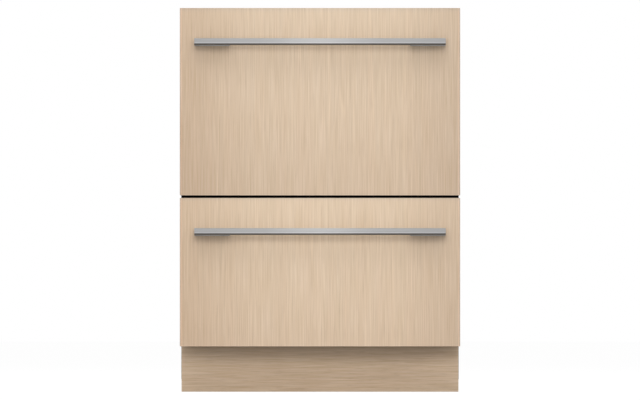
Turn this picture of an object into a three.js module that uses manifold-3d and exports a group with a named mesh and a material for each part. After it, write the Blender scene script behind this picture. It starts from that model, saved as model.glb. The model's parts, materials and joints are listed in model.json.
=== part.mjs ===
// Panel-ready double-drawer dishwasher, in millimetres, +Z up, front towards -Y.
// The model is drawn with y = 0 at the plane where the wood panels meet the drawer frames,
// and the whole group is then set with its origin at the centre of the floor area.
import * as THREE from 'three';
import { mergeVertices } from 'three/addons/utils/BufferGeometryUtils.js';
import Module from 'manifold-3d';

// Outer form
const panelWidth = 599;
const toeSpace = 97.5;
const lowerPanelHeight = 317.5;
const panelGap = 4.8;
const upperPanelHeight = 400.7;
const panelThickness = 19;
const panelArris = 1;
const cabinetWidth = 594;
const cabinetDepth = 553;
const cabinetTopDrop = 2;
const sheet = 1.2;
const topPressing = 1.5;
const backPressing = 2.5;
const backFold = 12;
const serviceHeight = 60; // open height above the base tray's lip, behind, for the valve and hoses
const sideFlange = 10;
const swageRise = 2;
const swageHalf = 8;
const swageOffset = 56; // runner's centre to each pressed swage
const swageEnd = 40;
const railHeight = 14;
const railDepth = 30;
const railGauge = 1.5;
const fit = 0.3; // gap between pieces that are fastened together or rest on each other

// Handles
const handleInset = 31; // panel's side edge to the bar's end
const handleHeight = 16;
const handleThickness = 12;
const handleReach = 38;
const handleDrop = 64; // panel's top edge to the bar's top edge
const handleLowerHeight = 4.2; // the rounded lower front edge, up the face and back along the underside
const handleLowerDepth = 9;
const handleUpperRadius = 1;
const mountLength = 76;

// Toe kick, base and feet
const toeKickSetback = 60; // panel's face to the toe kick's face
const toeKickThickness = 16;
const toeKickFloorGap = 0.5;
const toeKickSideGap = 0.7;
const toeKickTopGap = 0.4;
const baseHeight = 28;
const trayLip = 24;
const footPadRadius = 22;
const footStudRadius = 6;
const footTravel = 55;
const footInset = 48;
const bossHeight = 34;
const bossWall = 4;
const beamHalf = 30;
const beamRise = 10;
const studClearance = 0.5;

// Water inlet valve, at the back of the base tray
const valveInset = 95;
const valveBackGap = 6.5;
const valveSize = 44;
const valveHeight = 34;
const coilRadius = 17;
const coilHeight = 23;
const coilEdge = 3;
const spigotRadius = 13;
const spigotBore = 7;
const spigotLength = 33.5;

// Drawer frame behind each wood panel, and its control strip
const frameDepth = 42;
const frameSideGap = 1.5; // narrower than the cabinet, each side
const frameTopDrop = 8;
const frameBottomRise = 3;
const frameWall = 3;
const frameCorner = 6;
const frameRib = 2.5;
const frameRibDepth = 14;
const controlEndGap = 35.5; // frame's side to the strip's end
const controlDepth = 30;
const controlThickness = 8;
const controlFloor = 6;
const buttonRadius = 9;
const buttonProud = 1.2;
const buttonTravel = 2;
const buttonInset = 36; // strip's end to the button's axis
const buttonFlange = 2;
const buttonFlangeThickness = 1.5;
const buttonStemRadius = 3;
const buttonFacets = 12;
const cabinetFrontGap = 1;

// Tubs
const rimDrop = 42; // panel's top edge to the tub's rim
const upperTubRise = 16; // panel's bottom edge up to the pump housing
const lowerTubRise = 8;
const tubWall = 3;
const tubSideRoom = 20.5; // inside of the tub's wall to the inner runner
const tubFront = 50;
const tubBack = 520;
const tubCorner = 34;
const tubDraft = 6;
const tubFillet = 20;
const flangeWidth = 17;
const flangeLip = 14;
const flangeWall = 2.5;
const sumpRadius = 84;
const sumpDepth = 24;
const pumpHeight = 22;
const shaftRadius = 6;
const shaftHeight = 22;

// Telescopic runners, one pair for each drawer
const runnerDrop = 110; // tub's rim to the runners' centre
const runnerHeight = 42;
const runnerThickness = 13;
const runnerGauge = 1.5;
const runnerBall = 0.8; // gap between nested members, taken by the balls
const runnerFront = 50;
const runnerLength = 480;
const ledgeHeight = 22;
const ledgeRibs = 5;
const tabReach = 14; // how far the inner member's front tab runs into the drawer frame

// Lids, which drop onto the tubs when they close
const lidLift = 10;
const sealHeight = 8;
const sealWidth = 9;
const lidThickness = 12;
const lidRise = 3;
const lidArmHeight = 6;
const lidArmWidth = 30;
const lidArmInset = 70;

// Racks
const rackClearance = 44; // tub's floor to the rack's floor
const rackDrop = 24; // tub's rim to the rack's top loop
const rackFrontGap = 36;
const rackBackGap = 11;
const rackSideGap = 15;
const rackLean = 11; // how far each side leans in towards the floor
const rackBend = 16;
const loopRadius = 2.5;
const wireRadius = 1.8;
const tineHeight = 92;
const tinePitch = 46;
const rowPitch = 68;
const crossWires = 6;
const lengthWires = 6;
const lengthWireInset = 47; // rack's side to the outermost length wire
const clipWall = 2.2;
const tineRodRow = 2; // the rod lies behind this cross wire
const tineRodColumns = [0, 3]; // and is clipped at these length wires

// Cutlery baskets
const basketWidth = 92;
const basketLength = 190;
const basketHeight = 112;
const basketWall = 2.4;

// Spray arms and filters
const armRadius = 198;
const armLift = 12;
const armThickness = 12;
const armHubRadius = 24;
const armTipRadius = 15;
const nozzlePairs = 3;
const filterRadius = 98;
const filterThickness = 3;
const filterSlots = 8;

// Detergent dispensers
const dispenserWidth = 150;
const dispenserHeight = 80;
const dispenserDepth = 24;
const dispenserDrop = 34;
const cupWidth = 78;
const cupHeight = 50;
const cupDepth = 17;
const coverThickness = 3;
const coverLap = 4; // how far the cover laps past the cup's edge

// Worked out from the sizes above
const overallHeight = toeSpace + lowerPanelHeight + panelGap + upperPanelHeight;
const cabinetTop = overallHeight - cabinetTopDrop;
const cabinetFront = frameDepth + cabinetFrontGap;
const topSheetUnder = cabinetTop - topPressing - sheet;
const sideInner = cabinetWidth / 2 - sheet;
const innerReach = sideInner - fit;
const frameHalfWidth = cabinetWidth / 2 - frameSideGap;
const toeKickFace = toeKickSetback - panelThickness;
const toeKickBack = toeKickFace + toeKickThickness;
const runnerInner = innerReach - runnerThickness;
const tubHalfWidth = runnerInner - tubSideRoom;
const controlLength = 2 * (frameHalfWidth - controlEndGap);
const handleLength = panelWidth - 2 * handleInset;
const tubCentre = (tubFront + tubBack) / 2;
const lowerPanelTop = toeSpace + lowerPanelHeight;
const drawers = [
  { name: 'upper', bottom: lowerPanelTop + panelGap, top: overallHeight, rise: upperTubRise },
  { name: 'lower', bottom: toeSpace, top: lowerPanelTop, rise: lowerTubRise },
].map((drawer) => ({
  ...drawer,
  frameTop: drawer.top - frameTopDrop,
  rim: drawer.top - rimDrop,
  runner: drawer.top - rimDrop - runnerDrop,
  floor: drawer.bottom + drawer.rise + pumpHeight + sumpDepth,
}));

const wasm = await Module();
wasm.setup();

// Leaves one shared vertex at each corner and drops the triangles that collapse on an axis.
function weld(geometry) {
  const bare = geometry.index ? geometry.toNonIndexed() : geometry.clone();
  bare.deleteAttribute('normal');
  bare.deleteAttribute('uv');
  const merged = mergeVertices(bare, 1e-4);
  const kept = [];
  const corners = merged.index.array;
  for (let i = 0; i < corners.length; i += 3) {
    const [a, b, c] = corners.slice(i, i + 3);
    if (a !== b && b !== c && c !== a) kept.push(a, b, c);
  }
  merged.setIndex(kept);
  return merged;
}

function solidOf(geometry) {
  const welded = weld(geometry);
  const vertProperties = Float32Array.from(welded.attributes.position.array);
  const triVerts = Uint32Array.from(welded.index.array);
  return new wasm.Manifold(new wasm.Mesh({ numProp: 3, vertProperties, triVerts }));
}

// Joins the first list of geometries and takes the second list away from it.
function carve(added, removed = []) {
  let solid = solidOf(added[0]);
  for (const piece of added.slice(1)) solid = solid.add(solidOf(piece));
  for (const piece of removed) solid = solid.subtract(solidOf(piece));
  const mesh = solid.getMesh();
  const geometry = new THREE.BufferGeometry();
  geometry.setAttribute('position', new THREE.BufferAttribute(mesh.vertProperties.slice(), 3));
  geometry.setIndex(Array.from(mesh.triVerts));
  return geometry;
}

function block(x0, x1, y0, y1, z0, z1) {
  const geometry = new THREE.BoxGeometry(x1 - x0, y1 - y0, z1 - z0);
  return geometry.translate((x0 + x1) / 2, (y0 + y1) / 2, (z0 + z1) / 2);
}

// Skins a row of rings that have the same number of points, with flat ends or joined end to end.
function skin(rings, closed = false) {
  const count = rings[0].length;
  const index = [];
  const spans = closed ? rings.length : rings.length - 1;
  for (let row = 0; row < spans; row++) {
    const here = row * count;
    const next = ((row + 1) % rings.length) * count;
    for (let i = 0; i < count; i++) {
      const j = (i + 1) % count;
      index.push(here + i, here + j, next + j, here + i, next + j, next + i);
    }
  }
  if (!closed) {
    const last = (rings.length - 1) * count;
    for (let i = 1; i < count - 1; i++) {
      index.push(0, i + 1, i);
      index.push(last, last + i, last + i + 1);
    }
  }
  const geometry = new THREE.BufferGeometry();
  const places = rings.flat().flatMap((point) => point.toArray());
  geometry.setAttribute('position', new THREE.Float32BufferAttribute(places, 3));
  geometry.setIndex(index);
  return weld(geometry);
}

// One ring of a rounded rectangle at height z.
function roundedRing({ halfWidth, front, back, radius }, z, steps = 4) {
  const corners = [[1, 1], [-1, 1], [-1, -1], [1, -1]];
  return corners.flatMap(([sx, sy], corner) => {
    const x = sx * (halfWidth - radius);
    const y = sy > 0 ? back - radius : front + radius;
    return Array.from({ length: steps + 1 }, (_, step) => {
      const angle = (corner + step / steps) * Math.PI / 2;
      return new THREE.Vector3(x + radius * Math.cos(angle), y + radius * Math.sin(angle), z);
    });
  });
}

function inset(ring, amount) {
  return {
    halfWidth: ring.halfWidth - amount,
    front: ring.front + amount,
    back: ring.back - amount,
    radius: Math.max(ring.radius - amount, 1),
  };
}

function roundRing(radius, y) {
  const flat = 0.5;
  return { halfWidth: radius, front: y - radius, back: y + radius, radius: radius - flat };
}

function extruded(shape, depth, curveSegments) {
  return new THREE.ExtrudeGeometry(shape, { depth, bevelEnabled: false, curveSegments });
}

// Extrudes a (y, z) outline along X. Its fellow below takes an (x, z) outline from front to back along Y.
function alongX(shape, x0, x1, steps = 3) {
  const turn = new THREE.Matrix4().makeBasis(
    new THREE.Vector3(0, 1, 0), new THREE.Vector3(0, 0, 1), new THREE.Vector3(1, 0, 0));
  return extruded(shape, x1 - x0, steps).applyMatrix4(turn).translate(x0, 0, 0);
}

function alongY(shape, front, back, steps = 3) {
  return extruded(shape, back - front, steps).rotateX(Math.PI / 2).translate(0, back, 0);
}

function outline(points) {
  return new THREE.Shape(points.map(([u, v]) => new THREE.Vector2(u, v)));
}

// Turns a profile of [radius, height] points, which starts and ends on the axis.
function turned(profile, x, y, z, segments = 10) {
  const points = profile.map(([radius, height]) => new THREE.Vector2(radius, height));
  return new THREE.LatheGeometry(points, segments).rotateX(Math.PI / 2).translate(x, y, z);
}

// A board with a small bevel on every edge, its face towards -Y.
function board(width, bottom, top, front, back, arris) {
  const half = width / 2 - arris;
  const [low, high] = [bottom + arris, top - arris];
  const face = outline([[-half, low], [half, low], [half, high], [-half, high]]);
  const geometry = new THREE.ExtrudeGeometry(face, {
    depth: back - front - 2 * arris,
    bevelSize: arris,
    bevelThickness: arris,
    bevelSegments: 1,
  });
  return geometry.rotateX(Math.PI / 2).translate(0, back - arris, 0);
}

// A bent wire of round section whose path lies in one plane, with mitred bends.
function wire(path, planeNormal, radius, sides = 4, closed = false) {
  const points = path.map((p) => new THREE.Vector3(...p));
  const normal = new THREE.Vector3(...planeNormal);
  const last = points.length - 1;
  const rings = points.map((point, i) => {
    const before = points[closed && i === 0 ? last : Math.max(i - 1, 0)];
    const after = points[closed && i === last ? 0 : Math.min(i + 1, last)];
    const into = point.clone().sub(before);
    const out = after.clone().sub(point);
    if (into.lengthSq() === 0) into.copy(out);
    if (out.lengthSq() === 0) out.copy(into);
    const tangent = into.normalize().add(out.normalize());
    const mitre = 2 / tangent.length();
    const across = tangent.normalize().cross(normal).multiplyScalar(mitre);
    return Array.from({ length: sides }, (_, k) => {
      const angle = 2 * Math.PI * k / sides;
      return point.clone()
        .addScaledVector(normal, radius * Math.cos(angle))
        .addScaledVector(across, radius * Math.sin(angle));
    });
  });
  return skin(rings, closed);
}

// A shallow pressing in a sheet that lies in the XY plane: its outside, and the hollow behind it.
function pressing(halfX, halfY, height, thickness) {
  const slope = 2 * height;
  const ring = (grow, z) => [[1, 1], [-1, 1], [-1, -1], [1, -1]].map(
    ([sx, sy]) => new THREE.Vector3(sx * (halfX + grow), sy * (halfY + grow), z));
  const outside = skin([ring(0, 0), ring(-slope, height)]);
  const hollow = skin([
    ring(-thickness, -thickness - 1),
    ring(-thickness, -thickness),
    ring(-slope - thickness, height - thickness),
  ]);
  return { outside, hollow };
}

function finish(color, roughness, metalness = 0) {
  return new THREE.MeshStandardMaterial({ color, roughness, metalness });
}

const wood = finish(0xd9c0a0, 0.6);
const toeWood = finish(0xb8a086, 0.65);
const handleMetal = finish(0xc4c4c6, 0.32, 1);
const steelSheet = finish(0xb9bdbf, 0.45, 0.8);
const blackRail = finish(0x0b0b0c, 0.6);
const frameGrey = finish(0x3a3c3f, 0.55);
const controlBlack = finish(0x111214, 0.2);
const buttonGrey = finish(0x8f9396, 0.35);
const tubGrey = finish(0xc9cdd0, 0.5);
const wireGrey = finish(0xaab1b7, 0.4);
const basketGrey = finish(0x82898f, 0.55);
const whitePlastic = finish(0xe9ebec, 0.45);
const sealBlack = finish(0x1b1c1e, 0.8);
const runnerZinc = finish(0xa9adb0, 0.35, 1);
const footBlack = finish(0x17181a, 0.7);

function addPart(group, name, geometry, material) {
  const mesh = new THREE.Mesh(geometry, material);
  mesh.name = name;
  group.add(mesh);
}

// Cabinet: a folded sheet on each side, with pressed stiffening swages and notches for the runners
function sidePanel(side) {
  const bottom = baseHeight - sheet;
  const heel = toeKickBack + fit;
  const face = outline([
    [heel, bottom], [cabinetDepth, bottom], [cabinetDepth, cabinetTop],
    [cabinetFront, cabinetTop], [cabinetFront, toeSpace], [heel, toeSpace],
  ]);
  const inside = sideInner - sideFlange;
  const middle = sideInner + sheet / 2;
  const added = [
    alongX(face, sideInner, cabinetWidth / 2),
    block(inside, middle, cabinetFront, cabinetFront + sheet, toeSpace, cabinetTop),
  ];
  const swage = (z) => outline([
    [middle, z - swageHalf], [middle, z + swageHalf],
    [sideInner - swageRise, z + swageHalf / 2], [sideInner - swageRise, z - swageHalf / 2],
  ]);
  const notches = [];
  const half = runnerHeight / 2 + runnerBall;
  for (const { runner } of drawers) {
    for (const z of [runner - swageOffset, runner + swageOffset]) {
      added.push(alongY(swage(z), cabinetFront + swageEnd, cabinetDepth - swageEnd));
    }
    const [front, back] = [cabinetFront - 1, cabinetFront + sheet + 1];
    notches.push(block(inside - 1, sideInner, front, back, runner - half, runner + half));
  }
  const geometry = carve(added, notches);
  return side > 0 ? geometry : mirrored(geometry);
}

function mirrored(geometry) {
  const copy = geometry.clone().scale(-1, 1, 1);
  const index = Array.from(copy.index.array);
  for (let i = 0; i < index.length; i += 3) [index[i], index[i + 1]] = [index[i + 1], index[i]];
  copy.setIndex(index);
  return copy;
}

function backPanel() {
  const bottom = baseHeight + trayLip + serviceHeight;
  const top = topSheetUnder - fit;
  const rise = backPressing;
  const outer = cabinetDepth - rise;
  const added = [block(-innerReach, innerReach, outer - sheet, outer, bottom, top)];
  const removed = [];
  const halfHeight = (top - bottom) / 2;
  const padHalf = (halfHeight - 40) / 2;
  for (const step of [-1, 1]) {
    const middle = (bottom + top) / 2 + step * halfHeight / 2;
    const { outside, hollow } = pressing(innerReach - 36, padHalf, rise, sheet);
    added.push(outside.rotateX(-Math.PI / 2).translate(0, outer, middle));
    removed.push(hollow.rotateX(-Math.PI / 2).translate(0, outer, middle));
  }
  const [near, far] = [outer - backFold, outer - sheet / 2];
  added.push(block(-innerReach, innerReach, near, far, bottom, bottom + sheet));
  added.push(block(-innerReach, innerReach, near, far, top - sheet, top));
  return carve(added, removed);
}

function topPanel() {
  const rise = topPressing;
  const upper = cabinetTop - rise;
  const back = cabinetDepth;
  const front = cabinetFront + sheet + fit;
  const added = [block(-innerReach, innerReach, front, back, upper - sheet, upper)];
  const removed = [];
  const middle = (front + back) / 2;
  const padHalf = innerReach / 3 - 16;
  for (const step of [-1, 0, 1]) {
    const { outside, hollow } = pressing(padHalf, (back - front) / 2 - 30, rise, sheet);
    added.push(outside.translate(step * (2 * padHalf + 24), middle, upper));
    removed.push(hollow.translate(step * (2 * padHalf + 24), middle, upper));
  }
  const fold = 5;
  added.push(block(-innerReach, innerReach, front, front + sheet, upper - fold, upper - sheet / 2));
  return carve(added, removed);
}

// A channel across the front of the cabinet, seen as the dark line between the drawers
function dividerRail() {
  const low = lowerPanelTop + panelGap / 2 - railHeight / 2;
  const high = low + railHeight;
  const front = cabinetFront + sheet + fit;
  const back = front + railDepth;
  const web = front + railGauge;
  const section = outline([
    [front, low], [back, low], [back, low + railGauge], [web, low + railGauge],
    [web, high - railGauge], [back, high - railGauge], [back, high], [front, high],
  ]);
  return alongX(section, -innerReach, innerReach);
}

function toeKickPanel() {
  const top = toeSpace - toeKickTopGap;
  const width = cabinetWidth - 2 * toeKickSideGap;
  return board(width, toeKickFloorGap, top, toeKickFace, toeKickBack, panelArris);
}

function footPlaces() {
  const x = cabinetWidth / 2 - footInset;
  return [
    ['foot_front_left', -x, toeKickBack + footInset], ['foot_front_right', x, toeKickBack + footInset],
    ['foot_rear_left', -x, cabinetDepth - footInset], ['foot_rear_right', x, cabinetDepth - footInset],
  ];
}

function baseTray() {
  const outer = { halfWidth: innerReach, front: toeKickBack + fit, back: cabinetDepth - 4, radius: 8 };
  const inner = inset(outer, sheet);
  const tray = skin([
    roundedRing(outer, baseHeight, 2), roundedRing(outer, baseHeight + trayLip, 2),
    roundedRing(inner, baseHeight + trayLip, 2), roundedRing(inner, baseHeight + sheet, 2),
  ]);
  const bore = footStudRadius + studClearance;
  const bossRadius = bore + bossWall;
  const bosses = footPlaces().map(([, x, y]) => turned(
    [[0, 0], [bossRadius + 3, 0], [bossRadius, bossHeight], [0, bossHeight]],
    x, y, baseHeight));
  const bores = footPlaces().map(([, x, y]) => turned(
    [[0, -1], [bore, -1], [bore, bossHeight + 1], [0, bossHeight + 1]], x, y, baseHeight));
  const beamTop = baseHeight + beamRise;
  const beamSection = outline([
    [tubCentre - beamHalf, baseHeight], [tubCentre + beamHalf, baseHeight],
    [tubCentre + beamHalf - beamRise, beamTop], [tubCentre - beamHalf + beamRise, beamTop],
  ]);
  const beam = alongX(beamSection, -innerReach + sheet / 2, innerReach - sheet / 2);
  return carve([tray, beam, ...bosses], bores);
}

// A levelling foot: a moulded pad on a threaded stud
function foot(x, y) {
  const shoulder = baseHeight - fit;
  const studTop = baseHeight + footTravel + 10;
  const neck = footStudRadius + 3;
  return turned([
    [0, 0], [footPadRadius, 0], [footPadRadius, 5], [neck + 2, 13], [neck, 16], [neck, shoulder],
    [footStudRadius, shoulder], [footStudRadius, studTop - 1.5],
    [footStudRadius - 1.5, studTop], [0, studTop],
  ], x, y, 0);
}

function inletValve() {
  const x = -sideInner + valveInset;
  const z = baseHeight + sheet + fit;
  const back = cabinetDepth - valveBackGap - spigotLength;
  const middle = back - valveSize / 2;
  const body = block(x - valveSize / 2, x + valveSize / 2, back - valveSize, back, z, z + valveHeight);
  const rim = coilRadius - coilEdge;
  const coil = turned([
    [0, 0], [rim, 0], [coilRadius, coilEdge], [coilRadius, coilHeight - coilEdge],
    [rim, coilHeight], [0, coilHeight],
  ], x, middle, z + valveHeight - 1);
  const nut = spigotRadius + 2;
  const spigot = turned([
    [0, -8], [nut, -8], [nut, 6], [spigotRadius, 8], [spigotRadius, spigotLength - 1.5],
    [spigotRadius - 1, spigotLength], [spigotBore, spigotLength], [spigotBore, 10], [0, 10],
  ], 0, 0, 0);
  spigot.rotateX(-Math.PI / 2).translate(x, back, z + valveHeight / 2);
  return carve([body, coil, spigot]);
}

// Runner members are nested channels: outer and middle open towards the tub, inner towards the cabinet
function channel(z, half, web, mouth) {
  const inner = web + Math.sign(mouth - web) * runnerGauge;
  const reach = half - runnerGauge;
  return outline([
    [web, z - half], [mouth, z - half], [mouth, z - reach], [inner, z - reach],
    [inner, z + reach], [mouth, z + reach], [mouth, z + half], [web, z + half],
  ]);
}

function runnerMember(drawer, member, side) {
  const step = runnerGauge + runnerBall;
  const half = runnerHeight / 2;
  const mouth = runnerInner + 2 * step;
  const sections = {
    outer: channel(drawer.runner, half, innerReach, mouth),
    middle: channel(drawer.runner, half - step, innerReach - step, runnerInner + step),
    inner: channel(drawer.runner, half - 2 * step, runnerInner, innerReach - 2 * step),
  };
  const bar = alongY(sections[member], runnerFront, runnerFront + runnerLength);
  const geometry = carve(member === 'inner' ? [bar, frontTab(drawer)] : [bar]);
  return side > 0 ? geometry : mirrored(geometry);
}

// The inner member's front end carries a tab that screws to the drawer frame
function frontTab(drawer) {
  const half = runnerHeight / 2 - 2 * (runnerGauge + runnerBall);
  const [low, high] = [drawer.runner - half, drawer.runner + half];
  return block(runnerInner, runnerInner + runnerGauge, frameDepth - tabReach, runnerFront + 1, low, high);
}

// Drawer front: the wood panel, the moulded frame behind it and the control strip on the frame's top
function frontPanel(drawer) {
  return board(panelWidth, drawer.bottom, drawer.top, -panelThickness, 0, panelArris);
}

function frontFrame(drawer) {
  const bottom = drawer.bottom + frameBottomRise;
  const top = drawer.frameTop;
  const outer = { halfWidth: frameHalfWidth, front: bottom, back: top, radius: frameCorner };
  const inner = inset(outer, frameWall);
  const shell = skin([
    roundedRing(inner, -(fit + frameWall), 2), roundedRing(inner, -frameDepth, 2),
    roundedRing(outer, -frameDepth, 2), roundedRing(outer, -fit - 1.5, 2),
    roundedRing(inset(outer, 1.5), -fit, 2),
  ]).rotateX(Math.PI / 2);
  const seatDepth = controlThickness + fit;
  const seatFront = (frameDepth - controlDepth) / 2;
  const half = controlLength / 2;
  const seatBlock = block(
    -half - 6, half + 6, fit + 1, frameDepth - 1, top - seatDepth - controlFloor, top - frameWall / 2);
  const seat = block(
    -half - fit, half + fit, seatFront - fit, frameDepth - seatFront + fit, top - seatDepth, top + 1);
  const bore = buttonStemRadius + 2 * fit;
  const bores = buttonPlaces().map((x) => turned(
    [[0, -controlFloor - 1], [bore, -controlFloor - 1], [bore, 1], [0, 1]],
    x, frameDepth / 2, top - seatDepth, buttonFacets));
  const ribTop = top - seatDepth - controlFloor + 1;
  const ribs = [-1, 1].map((side) => {
    const x = side * frameHalfWidth / 3;
    return block(x - frameRib / 2, x + frameRib / 2, fit + 1, frameRibDepth, bottom + 1, ribTop);
  });
  const tabFace = runnerInner + runnerGauge + fit;
  const bossHalf = runnerHeight / 3;
  const [low, high] = [drawer.runner - bossHalf, drawer.runner + bossHalf];
  const bosses = [[tabFace, frameHalfWidth - 1], [1 - frameHalfWidth, -tabFace]].map(
    ([x0, x1]) => block(x0, x1, frameDepth - tabReach - 2, frameDepth - 1, low, high));
  return carve([shell, seatBlock, ...ribs, ...bosses], [seat, ...bores]);
}

function buttonPlaces() {
  const x = controlLength / 2 - buttonInset;
  return [-x, x];
}

function controlPanel(drawer) {
  const top = drawer.frameTop;
  const bottom = top - controlThickness;
  const y0 = (frameDepth - controlDepth) / 2;
  const y1 = y0 + controlDepth;
  const edge = 1.2;
  const section = outline([
    [y0, bottom], [y1, bottom], [y1, top - edge], [y1 - edge, top], [y0 + edge, top], [y0, top - edge],
  ]);
  const strip = alongX(section, -controlLength / 2, controlLength / 2);
  const flange = buttonRadius + buttonFlange + 2 * fit;
  const step = controlThickness - buttonTravel - buttonFlangeThickness - 2 * fit;
  const wells = buttonPlaces().map((x) => turned([
    [0, -controlThickness - 1], [flange, -controlThickness - 1], [flange, -step],
    [buttonRadius + 2 * fit, -step], [buttonRadius + 2 * fit, 1], [0, 1],
  ], x, frameDepth / 2, top, buttonFacets));
  return carve([strip], wells);
}

function button(drawer, x) {
  const step = controlThickness - buttonTravel - buttonFlangeThickness - 2 * fit;
  const under = -step - fit - buttonFlangeThickness;
  return turned([
    [0, -controlThickness - controlFloor], [buttonStemRadius, -controlThickness - controlFloor],
    [buttonStemRadius, under], [buttonRadius + buttonFlange, under],
    [buttonRadius + buttonFlange, -step - fit], [buttonRadius, -step - fit],
    [buttonRadius, buttonProud - 0.8], [buttonRadius - 0.8, buttonProud], [0, buttonProud + 0.3],
  ], x, frameDepth / 2, drawer.frameTop, buttonFacets);
}

// Bar handle: an extruded bar with a softly rounded lower front edge, on two solid end mounts
function handleBar(drawer) {
  const front = -panelThickness - handleReach;
  const back = front + handleThickness;
  const top = drawer.top - handleDrop;
  const bottom = top - handleHeight;
  const high = handleUpperRadius;
  const section = new THREE.Shape();
  section.moveTo(back, bottom);
  section.lineTo(back, top);
  section.lineTo(front + high, top);
  section.absarc(front + high, top - high, high, Math.PI / 2, Math.PI, false);
  section.lineTo(front, bottom + handleLowerHeight);
  section.absellipse(front + handleLowerDepth, bottom + handleLowerHeight,
    handleLowerDepth, handleLowerHeight, Math.PI, 1.5 * Math.PI, false, 0);
  section.closePath();
  return alongX(section, -handleLength / 2, handleLength / 2, 6);
}

function handleMount(drawer, side) {
  const top = drawer.top - handleDrop;
  const front = -panelThickness - handleReach + handleThickness + fit;
  const back = -panelThickness - fit;
  const near = handleLength / 2 - mountLength;
  const far = handleLength / 2;
  const bottom = top - handleHeight;
  const edge = 0.8;
  const section = outline([
    [near, bottom + edge], [near + edge, bottom], [far - edge, bottom], [far, bottom + edge],
    [far, top - edge], [far - edge, top], [near + edge, top], [near, top - edge],
  ]);
  const geometry = carve([alongY(section, front, back)]);
  return side > 0 ? geometry : mirrored(geometry);
}

// Tub: one moulded shell from the pump housing up the outside, over the rim and down to the sump
function tub(drawer) {
  const { rim, floor } = drawer;
  const mouth = { halfWidth: tubHalfWidth, front: tubFront, back: tubBack, radius: tubCorner };
  const base = { ...mouth, halfWidth: tubHalfWidth - tubDraft };
  const under = inset(base, -tubWall);
  const flange = {
    halfWidth: tubHalfWidth + flangeWidth,
    front: frameDepth + fit,
    back: tubBack + flangeWidth / 2,
    radius: tubCorner + flangeWidth / 2,
  };
  const lip = inset(flange, flangeWall);
  const underside = floor - tubWall;
  const housing = floor - sumpDepth - pumpHeight;
  const shell = skin([
    roundedRing(roundRing(sumpRadius + 2, tubCentre), housing),
    roundedRing(roundRing(sumpRadius + 6, tubCentre), housing + 4),
    roundedRing(roundRing(sumpRadius + 6, tubCentre), underside),
    roundedRing(inset(under, tubFillet), underside),
    roundedRing(under, underside + tubFillet),
    roundedRing(inset(mouth, -tubWall), rim - tubWall),
    roundedRing(lip, rim - tubWall),
    roundedRing(lip, rim - flangeLip),
    roundedRing(flange, rim - flangeLip),
    roundedRing(flange, rim - 1.5),
    roundedRing(inset(flange, 1.5), rim),
    roundedRing(mouth, rim),
    roundedRing(base, floor + tubFillet),
    roundedRing(inset(base, tubFillet / 4), floor + tubFillet / 3),
    roundedRing(inset(base, tubFillet), floor),
    roundedRing(roundRing(sumpRadius, tubCentre), floor),
    roundedRing(roundRing(sumpRadius - 6, tubCentre), floor - sumpDepth + 4),
    roundedRing(roundRing(sumpRadius - 10, tubCentre), floor - sumpDepth),
  ]);
  const shaftTop = sumpDepth + shaftHeight;
  const shaft = turned(
    [[0, -1], [shaftRadius + 5, -1], [shaftRadius, 8], [shaftRadius, shaftTop], [0, shaftTop]],
    0, tubCentre, floor - sumpDepth);
  return carve([shell, shaft, ...tubLedge(drawer, 1), ...tubLedge(drawer, -1)]);
}

// A ledge along the tub's side that stands on ribs and meets the inner runner
function tubLedge(drawer, side) {
  const reach = runnerInner - fit;
  const tubHeight = drawer.rim - drawer.floor + tubWall;
  const wallAt = tubHalfWidth - tubDraft * (drawer.rim - drawer.runner) / tubHeight;
  const root = wallAt + tubWall / 3;
  const half = ledgeHeight / 2;
  const y0 = runnerFront + 12;
  const y1 = tubBack - tubCorner;
  const sides = side > 0 ? [root, reach] : [-reach, -root];
  const top = block(...sides, y0, y1, drawer.runner + half - 3, drawer.runner + half);
  const face = side > 0 ? [reach - 3, reach] : [-reach, -reach + 3];
  const skirt = block(...face, y0, y1, drawer.runner - half, drawer.runner + half - 1);
  const ribs = Array.from({ length: ledgeRibs }, (_, i) => {
    const y = y0 + (y1 - y0 - 3) * i / (ledgeRibs - 1);
    return block(...sides, y, y + 3, drawer.runner - half, drawer.runner + half - 1);
  });
  return [top, skirt, ...ribs];
}

// Lid and the rubber seal under its edge
function lidRing() {
  return {
    halfWidth: tubHalfWidth + flangeWidth - 3,
    front: frameDepth + fit + 2,
    back: tubBack + flangeWidth / 2 - 2,
    radius: tubCorner + 4,
  };
}

function lid(drawer) {
  const edge = lidRing();
  const bottom = drawer.rim + lidLift + sealHeight + fit;
  const top = bottom + lidThickness;
  const shell = skin([
    roundedRing(inset(edge, 30), bottom + lidThickness - 4, 3),
    roundedRing(inset(edge, 22), bottom, 3), roundedRing(edge, bottom, 3), roundedRing(edge, top - 3, 3),
    roundedRing(inset(edge, 3), top - lidRise, 3), roundedRing(inset(edge, 40), top - lidRise, 3),
    roundedRing(inset(edge, 52), top, 3),
  ]);
  const arms = [];
  const armBottom = bottom + 1.5;
  for (const y of [edge.front + lidArmInset, edge.back - lidArmInset]) {
    const [near, far] = [y - lidArmWidth / 2, y + lidArmWidth / 2];
    arms.push(block(edge.halfWidth - 4, innerReach, near, far, armBottom, armBottom + lidArmHeight));
    arms.push(block(-innerReach, 4 - edge.halfWidth, near, far, armBottom, armBottom + lidArmHeight));
  }
  return carve([shell, ...arms]);
}

function lidSeal(drawer) {
  const middle = inset(lidRing(), 5 + sealWidth / 2);
  const bottom = drawer.rim + lidLift;
  const top = bottom + sealHeight;
  const half = sealWidth / 2;
  const profile = [
    [half, top], [half, top - 2], [half - 1.5, bottom + 2], [0.8, bottom],
    [-0.8, bottom], [1.5 - half, bottom + 2], [-half, top - 2], [-half, top],
  ];
  return skin(profile.map(([amount, z]) => roundedRing(inset(middle, amount), z, 3)), true);
}

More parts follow.
